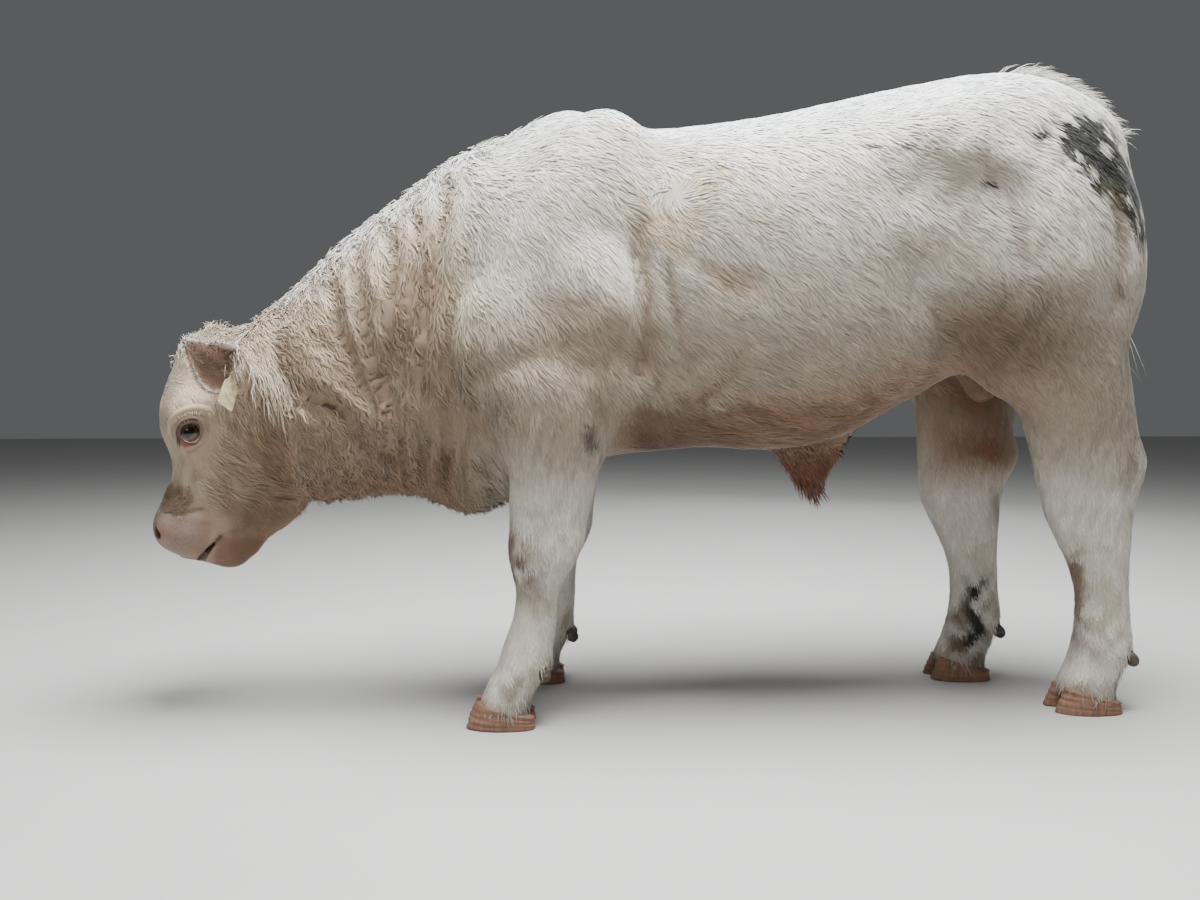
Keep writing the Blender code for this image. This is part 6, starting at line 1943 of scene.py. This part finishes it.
def makeTag(name):
    root, along, broad, openSide = earFrame(-1)
    place = root + along * tag["seat"]
    down = tag["down"]
    across = (along - down * along.dot(down)).normalized()
    face = across.cross(down)
    if face.dot(openSide) < 0:
        face = -face
    bm = bmesh.new()

    def at(u, v, height):
        bow = 0.0014 * math.sin(max(u, 0) * 50) * (1 + v * 20)
        return place + openSide * tag["lift"] + face * (bow + height) + down * u + across * v

    sides = []
    for height in (-tag["thick"] / 2, tag["thick"] / 2):
        rows = []
        for u, less, more in tag["outline"]:
            row = [-less + (less + more) * k / 8 for k in range(9)]
            rows.append([bm.verts.new(at(u, v, height)) for v in row])
        sides.append(rows)
    for rows in sides:
        for first, second in zip(rows, rows[1:]):
            for k in range(8):
                bm.faces.new((first[k], first[k + 1], second[k + 1], second[k]))
    count = len(tag["outline"])
    edge = [(i, 8) for i in range(count)] + [(count - 1, k) for k in range(7, -1, -1)]
    edge += [(i, 0) for i in range(count - 2, -1, -1)] + [(0, k) for k in range(1, 8)]
    for (i, k), (m, n) in zip(edge, edge[1:] + edge[:1]):
        bm.faces.new((sides[0][i][k], sides[0][m][n], sides[1][m][n], sides[1][i][k]))
    bmesh.ops.recalc_face_normals(bm, faces=bm.faces)
    mesh = meshOf(name, bm)
    plate = newObject(name, mesh)
    bevel = plate.modifiers.new("edge", "BEVEL")
    bevel.width = 0.0004
    bevel.segments = 2
    bevel.limit_method = "ANGLE"
    baked(plate)
    rings = []
    profile = (
        (-0.0248, 0.0), (-0.0248, 0.0040), (-0.0235, 0.0052), (-0.0225, 0.0040), (-0.010, 0.0036),
        (0.0088, 0.0036)
    )
    profile += ((0.0095, 0.0074), (0.0104, 0.0078), (0.0116, 0.0070), (0.0124, 0.0040), (0.0126, 0.0))
    for lift, radius in profile:
        reach = max(radius, 0.0003)
        seat = place + openSide * lift
        rings.append([seat + along * (reach * c) + broad * (reach * s) for _, c, s in around(28)])
    plate.data = joinedMesh(name, [plate.data, ringMesh("pin", rings)])
    plate.data.shade_smooth()
    plate.data.set_sharp_from_angle(angle=math.radians(40))
    return plate


# Finishes


class Wire:  # one value or colour on its way through a finish, with arithmetic
    def __init__(self, finish, socket):
        self.finish = finish
        self.socket = socket

    def maths(self, operation, first, second):
        return self.finish.add("ShaderNodeMath", {"operation": operation}, {0: first, 1: second})

    def __add__(self, other):
        return self.maths("ADD", self, other)

    def __radd__(self, other):
        return self.maths("ADD", other, self)

    def __sub__(self, other):
        return self.maths("SUBTRACT", self, other)

    def __rsub__(self, other):
        return self.maths("SUBTRACT", other, self)

    def __mul__(self, other):
        return self.maths("MULTIPLY", self, other)

    def __rmul__(self, other):
        return self.maths("MULTIPLY", other, self)

    def __truediv__(self, other):
        return self.maths("DIVIDE", self, other)

    def __pow__(self, other):
        return self.maths("POWER", self, other)


def tint(red, green, blue):  # a screen colour as a socket takes it
    return tuple(fromScreen(red, green, blue))


class Finish:  # one material being built
    def __init__(self, name):
        self.material = bpy.data.materials.new(name)
        self.material.use_nodes = True
        self.tree = self.material.node_tree
        self.shader = self.tree.nodes["Principled BSDF"]

    def add(self, kind, settings=None, inputs=None, out=0):
        node = self.tree.nodes.new(kind)
        for key, value in (settings or {}).items():
            if key == "stops":
                while len(node.color_ramp.elements) < len(value):
                    node.color_ramp.elements.new(0.5)
                for element, (position, colour) in zip(node.color_ramp.elements, value):
                    element.position = position
                    element.color = colour if len(colour) == 4 else (*colour, 1)
            else:
                setattr(node, key, value)
        for key, value in (inputs or {}).items():
            if isinstance(value, Wire):
                self.tree.links.new(value.socket, node.inputs[key])
            else:
                node.inputs[key].default_value = value
        return Wire(self, node.outputs[out])

    def noise(self, place, scale, detail=3.0, roughness=0.5, distortion=0.0):
        values = {
            "Vector": place, "Scale": scale, "Detail": detail, "Roughness": roughness,
            "Distortion": distortion
        }
        return self.add("ShaderNodeTexNoise", None, values)

    def place(self):
        return self.add("ShaderNodeTexCoord", None, None, 3)

    def stretched(self, vector, scale):
        return self.add("ShaderNodeVectorMath", {"operation": "MULTIPLY"}, {0: vector, 1: scale})

    def grey(self, wire, stops):
        return self.add("ShaderNodeValToRGB", {"stops": [(p, (v, v, v)) for p, v in stops]}, {0: wire})

    def mix(self, factor, first, second, blend="MIX"):
        settings = {"data_type": "RGBA", "blend_type": blend}
        values = {0: factor, 6: self.rgba(first), 7: self.rgba(second)}
        return self.add("ShaderNodeMix", settings, values, 2)

    def rgba(self, colour):
        return colour if isinstance(colour, Wire) else (*colour, 1.0)

    def bump(self, height, strength, distance):
        return self.add(
            "ShaderNodeBump", None, {"Height": height, "Strength": strength, "Distance": distance}
        )

    def made(self, **inputs):  # sets or links the shader's own sockets
        for key, value in inputs.items():
            socket = self.shader.inputs[key.replace("_", " ")]
            if isinstance(value, Wire):
                self.tree.links.new(value.socket, socket)
            else:
                socket.default_value = (
                    value if not isinstance(value, tuple) or len(value) != 3 else (*value, 1.0)
                )
        return self.material


def skinFinish():
    finish = Finish("bull skin")
    hide = finish.add("ShaderNodeVertexColor", {"layer_name": "hide"})
    place = finish.place()
    fine = finish.noise(place, 420.0, 4.0, 0.6)
    broad = finish.noise(place, 60.0, 3.0, 0.55)
    streaky = finish.noise(finish.stretched(place, (260.0, 260.0, 60.0)), 1.0, 3.0, 0.6)
    shade = finish.grey(streaky * 0.6 + broad * 0.4, ((0.3, 0.93), (0.7, 1.04)))
    colour = finish.mix(1.0, hide, shade, "MULTIPLY")
    normal = finish.bump(streaky * 0.7 + fine * 0.3, 0.3, 0.0008)
    return finish.made(
        Base_Color=colour, Roughness=broad * 0.25 + 0.55, Normal=normal, Specular_IOR_Level=0.35
    )


def coatFinish():
    finish = Finish("bull coat")
    hide = finish.add("ShaderNodeVertexColor", {"layer_name": "hide"})
    strand = finish.add("ShaderNodeUVMap", {"uv_map": "strand"})
    hairs = finish.noise(finish.stretched(strand, (1.6, 0.5, 1.0)), 1.4, 3.0, 0.6)
    shade = finish.grey(hairs, ((0.25, 0.88), (0.50, 1.0), (0.75, 1.08)))
    colour = finish.mix(1.0, hide, shade, "MULTIPLY")
    normal = finish.bump(hairs, 0.25, 0.0005)
    return finish.made(
        Base_Color=colour, Roughness=hairs * 0.2 + 0.50, Normal=normal, Specular_IOR_Level=0.30,
        Sheen_Weight=0.25, Sheen_Roughness=0.45,
    )


def hornFinish():
    finish = Finish("hoof horn")
    place = finish.place()
    rings = finish.noise(finish.stretched(place, (9.0, 9.0, 190.0)), 1.0, 3.0, 0.5)
    lines = finish.noise(finish.stretched(place, (230.0, 230.0, 22.0)), 1.0, 4.0, 0.6)
    dirt = finish.noise(place, 46.0, 5.0, 0.65)
    base = finish.add("ShaderNodeValToRGB", {"stops": [
        (0.28, tint(96, 70, 56)), (0.48, tint(134, 98, 78)),
        (0.66, tint(162, 124, 100)), (0.80, tint(186, 154, 130)),
    ]}, {0: rings * 0.45 + lines * 0.55})
    soiled = finish.grey(dirt, ((0.50, 0.0), (0.66, 1.0)))
    colour = finish.mix(soiled * 0.55, base, tint(96, 84, 68))
    normal = finish.bump(rings * 0.5 + lines * 0.5, 0.6, 0.0012)
    return finish.made(
        Base_Color=colour, Roughness=dirt * 0.3 + 0.42, Normal=normal, Specular_IOR_Level=0.45
    )


def dewclawFinish():
    finish = Finish("dewclaw horn")
    place = finish.place()
    grain = finish.noise(finish.stretched(place, (60.0, 60.0, 160.0)), 1.0, 4.0, 0.6)
    colour = finish.add("ShaderNodeValToRGB", {"stops": [
        (0.32, tint(44, 38, 33)), (0.55, tint(78, 68, 58)), (0.75, tint(120, 104, 86)),
    ]}, {0: grain})
    return finish.made(
        Base_Color=colour, Roughness=grain * 0.3 + 0.45, Normal=finish.bump(grain, 0.5, 0.001)
    )


def eyeFinish():
    finish = Finish("eye")
    gaze = finish.add("ShaderNodeUVMap", {"uv_map": "gaze"})
    centred = finish.add("ShaderNodeVectorMath", {"operation": "SUBTRACT"}, {0: gaze, 1: (0.5, 0.5, 0.0)})
    wide = finish.stretched(centred, (0.72, 1.05, 0.0))
    away = finish.add("ShaderNodeVectorMath", {"operation": "LENGTH"}, {0: centred}, 1)
    slot = finish.add("ShaderNodeVectorMath", {"operation": "LENGTH"}, {0: wide}, 1)
    rays = finish.noise(finish.stretched(centred, (60.0, 60.0, 1.0)), 1.0, 4.0, 0.6)
    iris = finish.mix(rays, tint(46, 24, 12), tint(112, 70, 40))
    white = finish.mix(rays, tint(150, 118, 106), tint(186, 160, 146))
    ball = finish.mix(finish.grey(away, ((0.258, 0.0), (0.285, 1.0))), iris, white)
    edge = finish.grey(away, ((0.205, 0.0), (0.255, 1.0), (0.270, 1.0), (0.300, 0.0)))
    ball = finish.mix(edge * 0.85, ball, tint(22, 14, 12))
    pupil = finish.grey(slot, ((0.135, 1.0), (0.160, 0.0)))
    colour = finish.mix(pupil, ball, (0.004, 0.004, 0.006))
    return finish.made(
        Base_Color=colour, Roughness=rays * 0.05 + 0.08, Coat_Weight=1.0, Coat_Roughness=0.03,
        Specular_IOR_Level=0.1
    )


def tagFinish():
    finish = Finish("ear tag")
    place = finish.place()
    grime = finish.noise(place, 90.0, 5.0, 0.65)
    grain = finish.noise(place, 900.0, 2.0, 0.5)
    colour = finish.mix(
        finish.grey(grime, ((0.42, 0.0), (0.66, 0.8))), tint(190, 176, 140), tint(128, 112, 84)
    )
    return finish.made(
        Base_Color=colour, Roughness=grime * 0.3 + 0.35, Normal=finish.bump(grain, 0.15, 0.0004)
    )


def floorFinish():
    finish = Finish("pale floor")
    speck = finish.noise(finish.place(), 3.0, 4.0, 0.5)
    colour = finish.mix(speck, (0.50, 0.495, 0.48), (0.54, 0.53, 0.515))
    return finish.made(Base_Color=colour, Roughness=0.75)


# Putting it together

low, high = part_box("eye_left")
frameShift = (Vector(low) + Vector(high)) / 2 - headPoint(eyeSeat[0], -eyeSeat[1], eyeSeat[2])


def placed(obj, material, slot, *nodes):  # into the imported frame, riding on its one body
    obj.data.transform(Matrix.Translation(frameShift))
    obj.data.materials.clear()
    obj.data.materials.append(material)
    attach(obj, "root")
    if nodes:
        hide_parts(*nodes)
    return obj


skin = makeSkin()
skin.data.shade_smooth()
hide = Hide(skin.data)
setColour(skin.data, "hide", np.clip(markingsAndPaintedLight(hide.points, hide.normals) * 0.98, 0, 1))
print("hide", len(hide.triangles), "triangles", round(time.time() - started, 1))
coats = makeCoat(hide)
flesh = ["head", "neck", "torso", "tail", "ear_left", "ear_right"] + ["leg_" + name for name in legs]
placed(skin, skinFinish(), "coat", *flesh)
hair = coatFinish()
for coat in coats:
    placed(coat, hair, "coat")

horn = hornFinish()
dewhorn = dewclawFinish()
for i, (name, leg) in enumerate(legs.items()):
    footX, footY = leg["foot"]
    side = leg["side"]
    heelX = footX + (0.074 if name.startswith("fore") else 0.079)
    heelZ = 0.098 if name.startswith("fore") else 0.102
    for outer in (-1, 1):
        label = name + ("_outer" if outer == side else "_inner")
        claw = makeClaw("hoof_" + label, footX, side * footY, outer, i * 2 + outer)
        placed(claw, horn, "horn", "claw_" + label)
        place = (heelX, side * footY + outer * 0.026, heelZ)
        spur = makeDewclaw("spur_" + label, place, (0.62, outer * 0.20, -0.76))
        placed(spur, dewhorn, "dewclaw", "dewclaw_" + label)
eyeLook = eyeFinish()
for side, name in ((-1, "left"), (1, "right")):
    placed(makeEye("eyeball_" + name, side), eyeLook, "eye", "eye_" + name)
placed(makeTag("tag_plate"), tagFinish(), "tag", "ear_tag")
print("pieces placed", round(time.time() - started, 1))

# The camera stands where the photograph was taken from

view = {
    "place": Vector((-0.108, -1.987, 0.600)),
    "down": 2.86,  # degrees
    "turn": 3.1,
    "lens": 30.0,
}


def lookAt(obj, target):
    obj.rotation_euler = (Vector(target) - obj.location).to_track_quat("-Z", "Y").to_euler()


camera = bpy.data.objects.new("camera", bpy.data.cameras.new("camera"))
bpy.context.scene.collection.objects.link(camera)
bpy.context.scene.camera = camera
camera.data.sensor_width = 36.0
camera.data.lens = view["lens"]
camera.location = view["place"] + frameShift
camera.rotation_euler = (math.radians(90 - view["down"]), 0, math.radians(-view["turn"]))


def softLight(name, place, target, size, power, colour=(1, 1, 1)):
    light = bpy.data.lights.new(name, "AREA")
    light.shape = "DISK"
    light.size = size
    light.energy = power
    light.color = colour
    obj = bpy.data.objects.new(name, light)
    bpy.context.scene.collection.objects.link(obj)
    obj.location = place
    lookAt(obj, target)


softLight("overhead", (0.2, -0.30, 3.4), (0.1, -0.1, 0.7), 2.4, 425, (0.98, 0.99, 1.0))
softLight("window", (-3.0, -2.6, 2.6), (-0.2, 0, 0.7), 1.6, 27, (0.98, 0.99, 1.0))
softLight("far side", (1.4, 3.4, 2.0), (0, 0, 0.7), 2.6, 22, (0.97, 0.98, 1.0))
world = bpy.context.scene.world or bpy.data.worlds.new("studio")
bpy.context.scene.world = world
world.use_nodes = True
background = world.node_tree.nodes["Background"]
background.inputs["Color"].default_value = (0.82, 0.84, 0.86, 1)
background.inputs["Strength"].default_value = 0.13

bm = bmesh.new()
bmesh.ops.create_grid(bm, x_segments=1, y_segments=1, size=14)
floorMesh = meshOf("floor", bm)
floor = newObject("floor", floorMesh)
floorMesh.materials.append(floorFinish())

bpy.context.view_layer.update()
print("all made", round(time.time() - started, 1))
